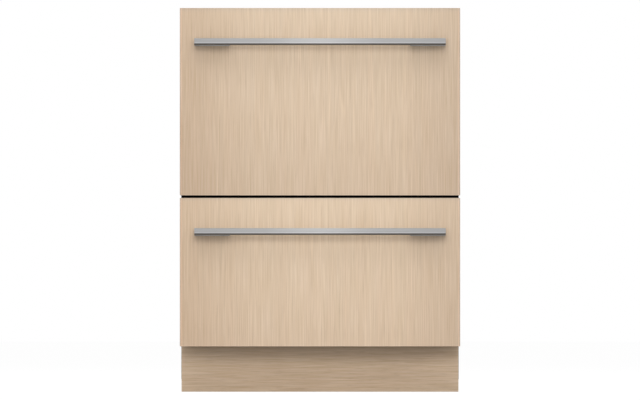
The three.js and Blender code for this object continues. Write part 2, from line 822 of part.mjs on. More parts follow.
// Rack of welded wire, which stands on four legs on the tub's floor
function rackRing(drawer) {
  return {
    halfWidth: tubHalfWidth - rackSideGap,
    front: tubFront + rackFrontGap,
    back: tubBack - rackBackGap,
    radius: 26,
  };
}

function rackFloor(drawer) {
  return drawer.floor + rackClearance;
}

function crossWireY(row) {
  return tubCentre + (row - (crossWires - 1) / 2) * rowPitch + rackFrontGap / 2 - rackBackGap / 2;
}

function lengthWireX(column) {
  const reach = tubHalfWidth - rackSideGap - lengthWireInset;
  return (2 * column / (lengthWires - 1) - 1) * reach;
}

function rack(drawer) {
  const top = drawer.rim - rackDrop;
  const low = rackFloor(drawer);
  const ring = rackRing(drawer);
  const waist = inset(ring, rackLean);
  const flat = inset(waist, rackBend);
  const loop = roundedRing(ring, top, 2).map((point) => point.toArray());
  const pieces = [wire(loop, [0, 0, 1], loopRadius, 4, true)];
  for (let row = 0; row < crossWires; row++) {
    const y = crossWireY(row);
    const path = [[ring.halfWidth, top], [waist.halfWidth, low + rackBend], [flat.halfWidth, low]];
    const bent = [...path.map(([x, z]) => [-x, y, z]), ...path.reverse().map(([x, z]) => [x, y, z])];
    pieces.push(wire(bent, [0, 1, 0], wireRadius));
  }
  const under = low - 1.7 * wireRadius;
  for (let column = 0; column < lengthWires; column++) {
    const x = lengthWireX(column);
    pieces.push(wire([
      [x, ring.front, top], [x, waist.front, low + rackBend], [x, flat.front, under],
      [x, flat.back, under], [x, waist.back, low + rackBend], [x, ring.back, top],
    ], [1, 0, 0], wireRadius));
  }
  for (const column of [0, lengthWires - 1]) {
    for (const row of [1, crossWires - 2]) {
      const x = lengthWireX(column);
      const y = crossWireY(row);
      pieces.push(wire([[x, y, drawer.floor + fit], [x, y, low]], [1, 0, 0], loopRadius));
    }
  }
  for (const [x, y] of fixedTines()) {
    pieces.push(wire([[x, y, low], [x, y, low + tineHeight]], [0, 1, 0], wireRadius - 0.2, 4));
  }
  const rodBores = [];
  for (const column of tineRodColumns) {
    const x = lengthWireX(column);
    const { y, z } = tineRodPlace(drawer);
    const half = loopRadius + clipWall;
    pieces.push(block(x - 3, x + 3, y - half, y + half, under - wireRadius / 2, z + half));
    rodBores.push(alongX(roundShape(y, z, loopRadius + 0.5), x - 5, x + 5, 4));
  }
  return carve(pieces, rodBores);
}

function roundShape(u, v, radius) {
  const shape = new THREE.Shape();
  shape.absarc(u, v, radius, 0, 2 * Math.PI, false);
  return shape;
}

function fixedTines() {
  const places = [];
  const left = lengthWireX(0) + tinePitch / 6;
  for (const row of [0, 1]) {
    for (let x = left; x < lengthWireX(3) + tinePitch / 2; x += tinePitch) places.push([x, crossWireY(row)]);
  }
  for (const row of [crossWires - 2, crossWires - 1]) {
    for (let x = left; x < lengthWireX(lengthWires - 1); x += tinePitch) places.push([x, crossWireY(row)]);
  }
  return places;
}

// The folding row of tines turns on a rod held by two clips on the rack's floor
function tineRodPlace(drawer) {
  return { y: crossWireY(tineRodRow) + rowPitch / 3, z: rackFloor(drawer) + wireRadius + fit + loopRadius };
}

function tineRow(drawer) {
  const { y, z } = tineRodPlace(drawer);
  const [x0, x1] = tineRodColumns.map(lengthWireX);
  const past = 2 * clipWall;
  const pieces = [wire([[x0 - past, y, z], [x1 + past, y, z]], [0, 1, 0], loopRadius - 0.2, 8)];
  for (let x = x0 + tinePitch / 3; x < x1 - tinePitch / 5; x += tinePitch) {
    pieces.push(wire([[x, y, z], [x, y, z + tineHeight]], [0, 1, 0], wireRadius - 0.2, 5));
  }
  return carve(pieces);
}

// Cutlery basket with slotted walls and a carrying arch
function cutleryBasket(drawer) {
  const x = (lengthWireX(4) + lengthWireX(5)) / 2 - 4;
  const front = rackRing(drawer).front + rackLean + loopRadius + 14;
  const bottom = rackFloor(drawer) + wireRadius + fit;
  const top = bottom + basketHeight;
  const outer = { halfWidth: basketWidth / 2, front, back: front + basketLength, radius: 10 };
  const foot = inset(outer, 4);
  const cup = inset(outer, basketWall);
  const cupFoot = inset(foot, basketWall);
  const shell = skin([
    roundedRing(foot, bottom, 2), roundedRing(outer, top - 4, 2),
    roundedRing(inset(outer, -1.5), top - 4, 2), roundedRing(inset(outer, -1.5), top, 2),
    roundedRing(cup, top, 2), roundedRing(cupFoot, bottom + basketWall, 2),
  ]);
  const windows = [];
  const bays = 5;
  const bay = (basketLength - 2 * 16) / bays;
  for (let i = 0; i < bays; i++) {
    const y = front + 16 + bay * i + 3;
    const far = y + bay - 6;
    const reach = basketWidth / 2 - 14;
    windows.push(block(-basketWidth, basketWidth, y, far, bottom + 14, top - 14));
    windows.push(block(-reach, reach, y, far, bottom - 1, bottom + basketWall + 1));
  }
  const middle = front + basketLength / 2;
  const archTop = top + 14;
  const arch = wire([
    [-basketWidth / 2 + 1.5, middle, top - 12], [-basketWidth / 2 + 8, middle, archTop - 6],
    [-basketWidth / 2 + 20, middle, archTop], [basketWidth / 2 - 20, middle, archTop],
    [basketWidth / 2 - 8, middle, archTop - 6], [basketWidth / 2 - 1.5, middle, top - 12],
  ], [0, 1, 0], 3, 6);
  return carve([shell, arch], windows).translate(x, 0, 0);
}

// Spray arm on the tub's shaft, with raised nozzles, over the slotted filter
function sprayArm(drawer) {
  const bottom = drawer.floor + armLift;
  const blade = new THREE.Shape();
  const lean = Math.atan2(armHubRadius - armTipRadius, armRadius - armTipRadius);
  const tip = armRadius - armTipRadius;
  blade.absarc(tip, 0, armTipRadius, -Math.PI / 2 + lean, Math.PI / 2 - lean, false);
  blade.absarc(-tip, 0, armTipRadius, Math.PI / 2 + lean, 1.5 * Math.PI - lean, false);
  const edge = 2;
  const arm = new THREE.ExtrudeGeometry(blade, {
    depth: armThickness - 2 * edge,
    bevelSize: edge,
    bevelOffset: -edge,
    bevelThickness: edge,
    bevelSegments: 1,
    curveSegments: 4,
  }).translate(0, tubCentre, bottom + edge);
  const hubTop = armThickness + 8;
  const waist = armHubRadius + 6;
  const hub = turned([
    [0, -6], [armHubRadius - 6, -6], [waist, 2],
    [waist, armThickness], [armHubRadius - 4, hubTop], [0, hubTop],
  ], 0, tubCentre, bottom, 14);
  const nozzles = [];
  for (let i = 1; i <= nozzlePairs; i++) {
    for (const side of [-1, 1]) {
      const x = side * (armHubRadius + 14 + (tip - armHubRadius - 14) * i / nozzlePairs);
      const y = tubCentre + side * (i % 2 ? 4 : -4);
      nozzles.push(turned([[0, -1], [6, -1], [4, 3], [0, 3]], x, y, bottom + armThickness, 6));
    }
  }
  const socket = shaftRadius + 0.5;
  const boreTop = armThickness + 4;
  const bore = turned([[0, -8], [socket, -8], [socket, boreTop], [0, boreTop]], 0, tubCentre, bottom);
  return carve([arm, hub, ...nozzles], [bore]);
}

function filterPlate(drawer) {
  const bottom = drawer.floor + fit;
  const plate = roundShape(0, 0, filterRadius);
  plate.holes.push(new THREE.Path().absarc(0, 0, shaftRadius + 8, 0, 2 * Math.PI, true));
  const slotStart = 26;
  const slotEnd = sumpRadius - 12;
  for (let i = 0; i < filterSlots; i++) {
    const angle = 2 * Math.PI * i / filterSlots;
    const corners = [[slotStart, -0.06], [slotEnd, -0.09], [slotEnd, 0.09], [slotStart, 0.06]];
    plate.holes.push(new THREE.Path(corners.map(([r, turn]) => new THREE.Vector2(
      r * Math.cos(angle + turn), r * Math.sin(angle + turn)))));
  }
  const disc = extruded(plate, filterThickness, 10);
  const skirtSizes = [[10, -8], [8, 1], [11, 1], [13, -8]];
  const skirt = skin(skirtSizes.map(([less, z]) => roundedRing(roundRing(sumpRadius - less, 0), z)), true);
  return carve([disc, skirt]).translate(0, tubCentre, bottom);
}

// Detergent dispenser on the tub's front wall, with a cover that slides sideways off the cup
function dispenserSizes(drawer) {
  const front = tubFront + fit;
  const top = drawer.rim - dispenserDrop;
  const left = -dispenserWidth / 2;
  const cupLeft = left + 8;
  const middle = top - dispenserHeight / 2;
  return { front, back: front + dispenserDepth, top, left, cupLeft, middle };
}

function dispenser(drawer) {
  const { front, back, top, left, cupLeft, middle } = dispenserSizes(drawer);
  const edge = 3;
  const face = outline([
    [left + edge, top - dispenserHeight + edge], [-left - edge, top - dispenserHeight + edge],
    [-left - edge, top - edge], [left + edge, top - edge],
  ]);
  const body = new THREE.ExtrudeGeometry(face, {
    depth: dispenserDepth - edge, bevelSize: edge, bevelThickness: edge, bevelSegments: 2,
  }).rotateX(Math.PI / 2).translate(0, back - edge, 0);
  const trim = block(left - 1, -left + 1, front - edge - 1, front, top - dispenserHeight - 1, top + 1);
  const mouth = { halfWidth: cupWidth / 2, front: -cupHeight / 2, back: cupHeight / 2, radius: 9 };
  const cupSteps = [[5, 0], [1, 4], [0, cupDepth + 1]];
  const cup = skin(cupSteps.map(([amount, rise]) => roundedRing(inset(mouth, amount), rise, 3)))
    .rotateX(-Math.PI / 2).translate(cupLeft + cupWidth / 2, back - cupDepth, middle);
  const railGap = cupHeight / 2 + coverLap + fit;
  const under = back + coverThickness + 2 * fit;
  const rails = [-1, 1].map((side) => {
    const near = middle + side * railGap;
    const far = near + side * 3;
    const lip = near - side * 3;
    const section = [
      [back - 1, near], [under, near], [under, lip], [under + 1.6, lip], [under + 1.6, far], [back - 1, far],
    ];
    return alongX(outline(side > 0 ? section : section.reverse()), left + 3, -left - 3);
  });
  return carve([body, ...rails], [trim, cup]);
}

function dispenserCover(drawer) {
  const { back, cupLeft, middle } = dispenserSizes(drawer);
  const half = cupHeight / 2 + coverLap;
  const x0 = cupLeft - coverLap;
  const x1 = cupLeft + cupWidth + coverLap;
  const plate = block(x0, x1, back + fit, back + fit + coverThickness, middle - half, middle + half);
  const grip = outline([[x1 - 18, 0], [x1 - 14, 4], [x1 - 11, 4], [x1 - 7, 0]]);
  const ridge = new THREE.ExtrudeGeometry(grip, { depth: 2 * half - 16, bevelEnabled: false });
  ridge.translate(0, back + coverThickness, middle - half + 8);
  return carve([plate, ridge]);
}

// Assembly
function addCabinet(group) {
  addPart(group, 'side_panel_right', sidePanel(1), steelSheet);
  addPart(group, 'side_panel_left', sidePanel(-1), steelSheet);
  addPart(group, 'back_panel', backPanel(), steelSheet);
  addPart(group, 'top_panel', topPanel(), steelSheet);
  addPart(group, 'divider_rail', dividerRail(), blackRail);
  addPart(group, 'base_tray', baseTray(), steelSheet);
  addPart(group, 'inlet_valve', inletValve(), whitePlastic);
  addPart(group, 'toe_kick_panel', toeKickPanel(), toeWood);
  for (const [name, x, y] of footPlaces()) addPart(group, name, foot(x, y), footBlack);
}

function addDrawer(group, drawer) {
  const add = (name, geometry, material) => addPart(group, `${drawer.name}_${name}`, geometry, material);
  add('front_panel', frontPanel(drawer), wood);
  add('front_frame', frontFrame(drawer), frameGrey);
  add('control_panel', controlPanel(drawer), controlBlack);
  const [powerX, startX] = buttonPlaces();
  add('power_button', button(drawer, powerX), buttonGrey);
  add('start_button', button(drawer, startX), buttonGrey);
  add('handle_bar', handleBar(drawer), handleMetal);
  add('tub', tub(drawer), tubGrey);
  add('lid', lid(drawer), whitePlastic);
  add('lid_seal', lidSeal(drawer), sealBlack);
  add('rack', rack(drawer), wireGrey);
  add('tine_row', tineRow(drawer), wireGrey);
  add('cutlery_basket', cutleryBasket(drawer), basketGrey);
  add('spray_arm', sprayArm(drawer), basketGrey);
  add('filter_plate', filterPlate(drawer), basketGrey);
  add('dispenser', dispenser(drawer), whitePlastic);
  add('dispenser_cover', dispenserCover(drawer), basketGrey);
  for (const [side, sign] of [['left', -1], ['right', 1]]) {
    add(`handle_mount_${side}`, handleMount(drawer, sign), handleMetal);
    for (const member of ['outer', 'middle', 'inner']) {
      add(`runner_${member}_${side}`, runnerMember(drawer, member, sign), runnerZinc);
    }
  }
}

const dishwasher = new THREE.Group();
addCabinet(dishwasher);
for (const drawer of drawers) addDrawer(dishwasher, drawer);
dishwasher.position.y = (panelThickness + handleReach - cabinetDepth) / 2;

export default dishwasher;
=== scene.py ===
"""Panel-ready double-drawer dishwasher: pale straight-grained wood fronts, slim satin bar handles,
a recessed wood toe kick, and two sliding wash drawers with their racks, lids and runners."""
import json
import math
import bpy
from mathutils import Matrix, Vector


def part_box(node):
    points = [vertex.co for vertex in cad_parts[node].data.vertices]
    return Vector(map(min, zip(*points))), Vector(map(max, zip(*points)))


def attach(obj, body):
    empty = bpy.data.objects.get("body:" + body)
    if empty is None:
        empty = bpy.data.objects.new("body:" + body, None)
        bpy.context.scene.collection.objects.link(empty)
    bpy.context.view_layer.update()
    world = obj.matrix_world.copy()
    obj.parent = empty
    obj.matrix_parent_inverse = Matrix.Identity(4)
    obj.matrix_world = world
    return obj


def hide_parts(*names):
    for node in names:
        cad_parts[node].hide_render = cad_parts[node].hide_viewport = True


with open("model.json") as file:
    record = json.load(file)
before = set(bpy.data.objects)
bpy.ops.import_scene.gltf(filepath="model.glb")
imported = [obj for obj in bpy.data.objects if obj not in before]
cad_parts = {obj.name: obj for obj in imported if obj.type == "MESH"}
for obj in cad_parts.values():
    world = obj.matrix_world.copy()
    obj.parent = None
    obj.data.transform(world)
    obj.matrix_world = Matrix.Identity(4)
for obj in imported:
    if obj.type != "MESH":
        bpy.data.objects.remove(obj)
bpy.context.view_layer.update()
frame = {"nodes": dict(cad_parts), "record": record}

from types import SimpleNamespace as Sizes

import bmesh
import bpy
from mathutils import Matrix, Vector

MM = 0.001
DRAWERS = ("upper", "lower")
SIDES = (-1, 1)
PANEL_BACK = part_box("upper_front_panel")[1][1]


def at(x, y, z):
    """A point given in millimetres, with y counted back from the wood panels' rear face."""
    return Vector((x * MM, PANEL_BACK + y * MM, z * MM))


def box_mm(node):
    """A solid's box as (x0, x1), (y0, y1), (z0, z1) in mm, with y counted as in at()."""
    low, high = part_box(node)
    return ((low[0] / MM, high[0] / MM), ((low[1] - PANEL_BACK) / MM, (high[1] - PANEL_BACK) / MM),
            (low[2] / MM, high[2] / MM))


# ---- sizes shared with the solids, in mm

HANDLE = Sizes(half=268.5, height=16, depth=12, front=-57, drop=64, low_height=4.2, low_depth=9,
               arris=0.2, head_ease=0.8, foot_ease=0.4)
TUB = Sizes(half=262, front=50, back=520, corner=34, draft=6, fillet=20, wall=3)
TUB_MIDDLE = (TUB.front + TUB.back) / 2
FLANGE = Sizes(width=17, lip=14, wall=2.5, front=42.3)
SUMP = Sizes(radius=84, depth=24, pump=22)
RUNNER = Sizes(front=50, length=480, inner=282.5, outer=295.5, step=2.3, drop=110)
RACK = Sizes(half=247, front=86, back=509, corner=26, lean=11, bend=16, lift=44, drop=24)
WIRE = Sizes(loop=2.5, rod=1.8, tine=1.6, height=92, pitch=46, rows=6, columns=6, row_pitch=68)
BASKET = Sizes(x=156, width=92, length=190, height=112, front=113.5)
ARM = Sizes(reach=198, tip=15, hub=24, lift=12, thick=12)
DISPENSER = Sizes(half=75, drop=34, height=80, depth=24, cup=(-67, 11), cover=(-71, 15))
CONTROL_MIDDLE = 21


def levels(drawer):
    """The heights of a drawer's main faces in mm, read from its solids."""
    tub_low, rim = box_mm(f"{drawer}_tub")[2]
    panel_bottom, panel_top = box_mm(f"{drawer}_front_panel")[2]
    floor = tub_low + SUMP.depth + SUMP.pump
    return Sizes(rim=rim, floor=floor, rack=floor + RACK.lift, runner=rim - RUNNER.drop,
                 panel_top=panel_top, panel_bottom=panel_bottom)


LEVELS = {drawer: levels(drawer) for drawer in DRAWERS}


# ---- colour and camera

def srgb(red, green, blue):
    """A display colour in 0..255 as the linear colour that a shader socket holds."""
    def linear(value):
        value /= 255
        return value / 12.92 if value <= 0.04045 else ((value + 0.055) / 1.055) ** 2.4
    return (linear(red), linear(green), linear(blue), 1.0)


def tint(colour, red, green, blue):
    """A colour with each of its channels scaled."""
    return (colour[0] * red, colour[1] * green, colour[2] * blue, 1.0)


PHOTO_WIDTH, PHOTO_HEIGHT = 640, 400
PANEL_LEFT_PX, PANEL_RIGHT_PX, PANEL_TOP_PX = 179.8, 460.15, 8.0
CAMERA_DISTANCE = 40.0
CAMERA_SIGHT = 90
SENSOR = 36.0


def make_camera():
    """The photograph's camera: level, square to the panels, framed by the upper panel's edges."""
    low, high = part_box("upper_front_panel")
    metres_per_px = (high[0] - low[0]) / (PANEL_RIGHT_PX - PANEL_LEFT_PX)
    frame_width = metres_per_px * PHOTO_WIDTH
    height = high[2] - (PHOTO_HEIGHT / 2 - PANEL_TOP_PX) * metres_per_px
    data = bpy.data.cameras.new("photo_camera")
    data.sensor_width = SENSOR
    data.lens = SENSOR * CAMERA_DISTANCE / frame_width
    data.clip_end = CAMERA_SIGHT
    camera = bpy.data.objects.new("photo_camera", data)
    camera.location = (0, low[1] - CAMERA_DISTANCE, height)
    camera.rotation_euler = (math.pi / 2, 0, 0)
    bpy.context.scene.collection.objects.link(camera)
    bpy.context.scene.camera = camera


# ---- node trees

class NodeTree:
    """A node tree written out in script: each input takes a value or another node's socket."""

    def __init__(self, tree):
        self.tree = tree

    def node(self, kind, inputs=None, **settings):
        node = self.tree.nodes.new(kind)
        for key, value in settings.items():
            setattr(node, key, value)
        for key, value in (inputs or {}).items():
            if isinstance(value, bpy.types.NodeSocket):
                self.tree.links.new(value, node.inputs[key])
            else:
                node.inputs[key].default_value = value
        return node

    def result(self, kind, inputs=None, output=0, **settings):
        return self.node(kind, inputs, **settings).outputs[output]

    def math(self, kind, first, second=0.0):
        return self.result("ShaderNodeMath", {0: first, 1: second}, operation=kind)


class Look(NodeTree):
    """A short way to write a material, with its patterns laid out in object coordinates."""

    def __init__(self, name, base, roughness, metallic=0.0):
        self.material = bpy.data.materials.new(name)
        self.material.use_nodes = True
        super().__init__(self.material.node_tree)
        self.shader = self.tree.nodes["Principled BSDF"]
        for key, value in (("Base Color", base), ("Roughness", roughness), ("Metallic", metallic)):
            self.shader.inputs[key].default_value = value

    def place(self, scale=(1, 1, 1), offset=(0, 0, 0)):
        coords = self.result("ShaderNodeTexCoord", output="Object")
        return self.result("ShaderNodeMapping", {"Vector": coords, "Scale": scale, "Location": offset})

    def axis(self, key, source="Object"):
        coords = self.result("ShaderNodeTexCoord", output=source)
        return self.result("ShaderNodeSeparateXYZ", {0: coords}, key)

    def cells(self, scale, where):
        colour = self.result("ShaderNodeTexVoronoi", {"Scale": scale, "Vector": where}, "Color")
        return self.result("ShaderNodeSeparateColor", {0: colour})

    def noise(self, scale, where, detail=2.0, roughness=0.5, distortion=0.0):
        return self.result("ShaderNodeTexNoise", {
            "Scale": scale, "Detail": detail, "Roughness": roughness, "Distortion": distortion,
            "Vector": where}, "Fac")

    def ramp(self, value, *stops, ease="LINEAR"):
        """Colours along a value; a stop is its place and then a grey, three channels or a whole colour."""
        node = self.node("ShaderNodeValToRGB", {"Fac": value})
        node.color_ramp.interpolation = ease
        elements = node.color_ramp.elements
        while len(elements) < len(stops):
            elements.new(0.5)
        for element, (position, *colour) in zip(elements, stops):
            element.position = position
            if isinstance(colour[0], tuple):
                element.color = colour[0]
            else:
                element.color = (*(colour * 3)[:3], 1)
        return node.outputs["Color"]

    def mix(self, kind, factor, first, second):
        inputs = {"Factor": factor, 6: first, 7: second}
        return self.result("ShaderNodeMix", inputs, 2, data_type="RGBA", blend_type=kind)

    def times(self, first, *others, share=1.0):
        """Colours multiplied one after another."""
        for other in others:
            first = self.mix("MULTIPLY", share, first, other)
        return first

    def span(self, value, low, high, new_low=0, new_high=1):
        return self.result("ShaderNodeMapRange", {
            "Value": value, "From Min": low, "From Max": high, "To Min": new_low, "To Max": new_high})

    def close(self, colour, gloss, height, strength, distance):
        """Feeds the shader with its colour, roughness and relief."""
        bump = self.result("ShaderNodeBump", {"Strength": strength, "Distance": distance, "Height": height})
        for key, value in (("Base Color", colour), ("Roughness", gloss), ("Normal", bump)):
            self.tree.links.new(value, self.shader.inputs[key])
        return self.material


# ---- stage and light

def white_to_camera(net, shaded, share, strength=1.0):
    """Mixes a surface with plain white for the rays that see the background."""
    path = net.node("ShaderNodeLightPath").outputs
    seen = path["Is Camera Ray"]
    for ray in ("Is Glossy Ray", "Is Transmission Ray"):
        seen = net.math("MAXIMUM", seen, path[ray])
    white = net.result("ShaderNodeEmission", {"Strength": strength})
    return net.result("ShaderNodeMixShader", {"Fac": net.math("MULTIPLY", seen, share), 1: shaded, 2: white})


def make_floor():
    """A wide white floor, staged so that it isn't part of the object."""
    half, grey = 14.0, 0.62
    mesh = bpy.data.meshes.new("studio_floor")
    corners = [(x * half, y * half, 0) for x, y in ((-1, -1), (1, -1), (1, 1), (-1, 1))]
    mesh.from_pydata(corners, [], [(0, 1, 2, 3)])
    floor = bpy.data.objects.new("studio_floor", mesh)
    bpy.context.scene.collection.objects.link(floor)
    look = Look("studio_floor", (grey, grey, grey, 1), 1.0)
    surface = white_to_camera(look, look.shader.outputs[0], 0.82, 1.14)
    look.tree.links.new(surface, look.tree.nodes["Material Output"].inputs["Surface"])
    mesh.materials.append(look.material)


def make_world():
    """Soft ambient light behind a background that the camera sees as white."""
    world = bpy.data.worlds.new("studio")
    world.use_nodes = True
    net = NodeTree(world.node_tree)
    ambient = net.tree.nodes["Background"]
    ambient.inputs["Color"].default_value = (1, 1, 1, 1)
    ambient.inputs["Strength"].default_value = 0.34
    surface = white_to_camera(net, ambient.outputs[0], 1.0)
    net.tree.links.new(surface, net.tree.nodes["World Output"].inputs["Surface"])
    bpy.context.scene.world = world


SOFTBOXES = {  # place, target, width and height in metres, watts, and whether glossy faces mirror it
    "key_softbox": ((0.0, -6.0, 2.9), (0, -0.3, 0.5), (4.0, 2.0), 116, False),
    "low_front_fill": ((0.0, -5.0, 0.5), (0, -0.3, 0.45), (4.0, 0.6), 19, False),
    "overhead": ((0.0, -1.9, 3.4), (0, -0.3, 0.6), (3.0, 1.6), 30, False),
    "left_fill": ((-3.4, -2.2, 1.5), (0, 0, 0.4), (1.8, 1.8), 16, True),
    "right_fill": ((3.4, -2.2, 1.5), (0, 0, 0.4), (1.8, 1.8), 18, True),
    "rear_fill": ((-1.6, 2.6, 3.0), (0, 0.2, 0.4), (1.6, 1.2), 50, False),
}


def make_lights():
    for name, (place, target, size, power, mirrored) in SOFTBOXES.items():
        data = bpy.data.lights.new(name, "AREA")
        data.shape = "RECTANGLE"
        data.size, data.size_y = size
        data.energy = power
        lamp = bpy.data.objects.new(name, data)
        lamp.location = place
        lamp.rotation_euler = (Vector(target) - Vector(place)).to_track_quat("-Z", "Y").to_euler()
        lamp.visible_glossy = mirrored
        bpy.context.scene.collection.objects.link(lamp)


# ---- wood veneer

GRAIN = {  # scale across and along the grain, where in the pattern, detail and roughness
    "fine": (420, 5.0, (3, 1, 7), 3, 0.6),
    "medium": (170, 2.2, (11, 5, 2), 2, 0.5),
    "broad": (26, 0.9, (1, 8, 4), 2, 0.5),
    "hue": (60, 1.4, (17, 3, 9), 2, 0.5),
    "pores": (420, 20, (5, 2, 13), 1, 0.5),
    "flecks": (340, 9, (9, 4, 21), 1, 0.5),
    "crisp": (640, 10, (6, 12, 1), 0, 0.5),
    "rays": (34, 0.5, (2, 6, 31), 1, 0.4),
}
LYING_SHORTER, LYING_FINER = 2.0, 1.3
WHITE = 1


def grain_scale(across, along, upright):
    """Mapping scale of a pattern that is fine across the grain and long with it; lying grain is finer."""
    return (across, across, along) if upright else (LYING_SHORTER * along, across, LYING_FINER * across)


def wood_veneer(name, light, dark, board=None, upright=True, open_pore=0.93):
    """Reconstituted straight-grain veneer: fine streaks, short open pores, broad soft bands.

    board is the box of a front; with it the veneer gets painted shade towards the front's sides and down
    from its head, and bands along its edges with painted highlights.
    """
    light, dark = srgb(*light), srgb(*dark)
    look = Look(name, light, 0.55)
    grain = {key: look.noise(1.0, look.place(grain_scale(across, along, upright), where), *detail)
             for key, (across, along, where, *detail) in GRAIN.items()}
    streak = look.math("ADD", look.math("MULTIPLY", grain["fine"], 0.5),
                         look.math("MULTIPLY", grain["medium"], 0.32))
    streak = look.math("ADD", streak, look.math("MULTIPLY", grain["broad"], 0.18))
    tone = look.ramp(streak, (0.36, dark), (0.62, light))
    warm, cool = tint(light, 1.02, 0.985, 0.96), tint(light, 0.985, 1.005, 0.99)
    drift = look.ramp(grain["hue"], (0.35, warm), (0.65, cool))
    pore = (open_pore, open_pore * 0.985, open_pore * 0.975)
    mark = look.ramp(grain["pores"], (0.56, WHITE), (0.70, *pore))
    pale = look.ramp(grain["flecks"], (0.57, WHITE), (0.70, 1.035, 1.04, 1.05))
    line = look.ramp(
        grain["rays"], (0.385, WHITE), (0.40, 1.06, 1.068, 1.08), (0.415, 0.975, 0.97, 0.965), (0.45, WHITE),
        (0.49, WHITE), (0.50, 1.04, 1.045, 1.05), (0.51, 0.99), (0.57, 0.99),
        (0.585, 1.06, 1.068, 1.08), (0.60, 1.01))
    fibre = look.ramp(grain["crisp"], (0.25, 0.935, 0.915, 0.875), (0.50, WHITE), (0.75, 1.065, 1.09, 1.14))
    veneer = look.times(look.mix("MIX", 0.2, tone, drift), pale)
    veneer = look.times(look.times(veneer, mark, share=0.8), line, fibre)
    if board:
        # Painted shade across and down the front, and edge bands with painted highlights.
        veneer = look.times(veneer, *painted_front_shade(look, *board), *front_edge_bands_with_painted_glints(look, *board))
    relief = look.math("ADD", grain["fine"], look.math("MULTIPLY", mark, 0.6))
    gloss = look.span(grain["fine"], 0.3, 0.7, 0.50, 0.62)
    return look.close(veneer, gloss, relief, 0.10, 0.0004)


def painted_front_shade(look, low, high, drop=0.36):
    """Painted shade on a front: a little darker to both sides and down its upper part, as the light falls
    off.
    """
    # Painted shade: darker towards both sides.
    across = look.ramp(
        look.span(look.axis("X"), -high[0], high[0]), (0.0, 0.84, 0.80, 0.77), (0.26, 0.97, 0.965, 0.96),
        (0.5, WHITE), (0.78, 0.985, 0.98, 0.975), (1.0, 0.85, 0.83, 0.82))
    # Painted shade: darker down from the head.
    down = look.ramp(
        look.span(look.axis("Z"), high[2], high[2] - drop), (0.0, WHITE), (1.0, 0.975, 0.955, 0.95))
    return [look.times(across, down)]


def front_edge_bands_with_painted_glints(look, low, high, side_width=0.007, head_width=0.012, foot_width=0.006):
    """Bands of tone along a front's sides, head and foot: darker at the very edge, with painted highlights a
    few millimetres in along the sides and foot.
    """
    from_side = look.math("SUBTRACT", high[0], look.math("ABSOLUTE", look.axis("X")))
    # Painted highlight a few millimetres in from each side, darker at the very edge.
    side = look.ramp(
        look.span(from_side, 0.0, side_width), (0.0, 0.84, 0.87, 0.93), (0.18, 0.90, 0.92, 0.96),
        (0.30, 1.10, 1.07, 1.09), (0.62, 1.10, 1.07, 1.09), (0.78, 0.99, 0.985, 0.97), (1.0, WHITE))
    from_head = look.math("SUBTRACT", high[2], look.axis("Z"))
    # Darker towards the head.
    head = look.ramp(
        look.span(from_head, 0.0, head_width), (0.0, 0.89, 0.91, 0.94), (0.40, 0.945, 0.96, 0.99),
        (0.7, 0.99, 0.99, 1), (1.0, WHITE))
    from_foot = look.math("SUBTRACT", look.axis("Z"), low[2])
    # Painted highlight a little way up from the foot, darker at the very edge.
    foot = look.ramp(
        look.span(from_foot, 0.0, foot_width), (0.0, 0.88, 0.87, 0.86), (0.12, 1.03, 1.03, 1.05),
        (0.5, 1.03, 1.03, 1.05), (0.62, 0.97), (1.0, WHITE))
    return [look.times(side, head), foot]


# ---- metals and plastics

def satin_aluminium(name):
    """Anodised extrusion with a fine brush line along its length. Painted reflection makes it brighter at
    the middle than at its ends; painted shade darkens the faces that look down, and a painted highlight runs
    along the lower front edge.
    """
    look = Look(name, srgb(198, 198, 199), 0.32, 0.35)
    brush = look.noise(1.0, look.place((4, 900, 900)), 3, 0.6)
    tone = look.ramp(brush, (0.3, srgb(186, 185, 185)), (0.7, srgb(194, 194, 194)))
    # Painted reflection: the bar is lighter at its middle and darker towards its ends.
    along = look.ramp(look.span(look.axis("X"), -0.27, 0.27), (0.0, 0.74), (0.22, 0.80), (0.5, 1.0),
                      (0.78, 0.80), (1.0, 0.74), ease="EASE")
    # Painted shade on faces that look down, and a painted highlight on the slightly tilted band along the
    # lower front edge.
    underside_shade_and_edge_glint = look.ramp(look.span(look.axis("Z", "Normal"), -1, 1), (0.0, 0.15), (0.24, 0.25), (0.38, 0.44),
                       (0.43, 0.74), (0.447, 1.20), (0.464, 1.20), (0.482, 1.0))
    gloss = look.span(brush, 0.3, 0.7, 0.27, 0.38)
    return look.close(look.times(tone, along, underside_shade_and_edge_glint), gloss, brush, 0.04, 0.0002)


def sheet_metal(name, tone, roughness, metallic, spangle, sheen=0.5):
    """Plated or painted sheet with a soft uneven sheen."""
    base = srgb(*tone)
    look = Look(name, base, roughness, metallic)
    look.shader.inputs["Specular IOR Level"].default_value = sheen
    cloud = look.noise(spangle, look.place(), 4, 0.6, 0.6)
    colour = look.ramp(cloud, (0.32, tint(base, 0.86, 0.86, 0.86)), (0.66, base))
    gloss = look.span(cloud, 0.3, 0.7, roughness - 0.06, roughness + 0.08)
    return look.close(colour, gloss, cloud, 0.05, 0.0003)


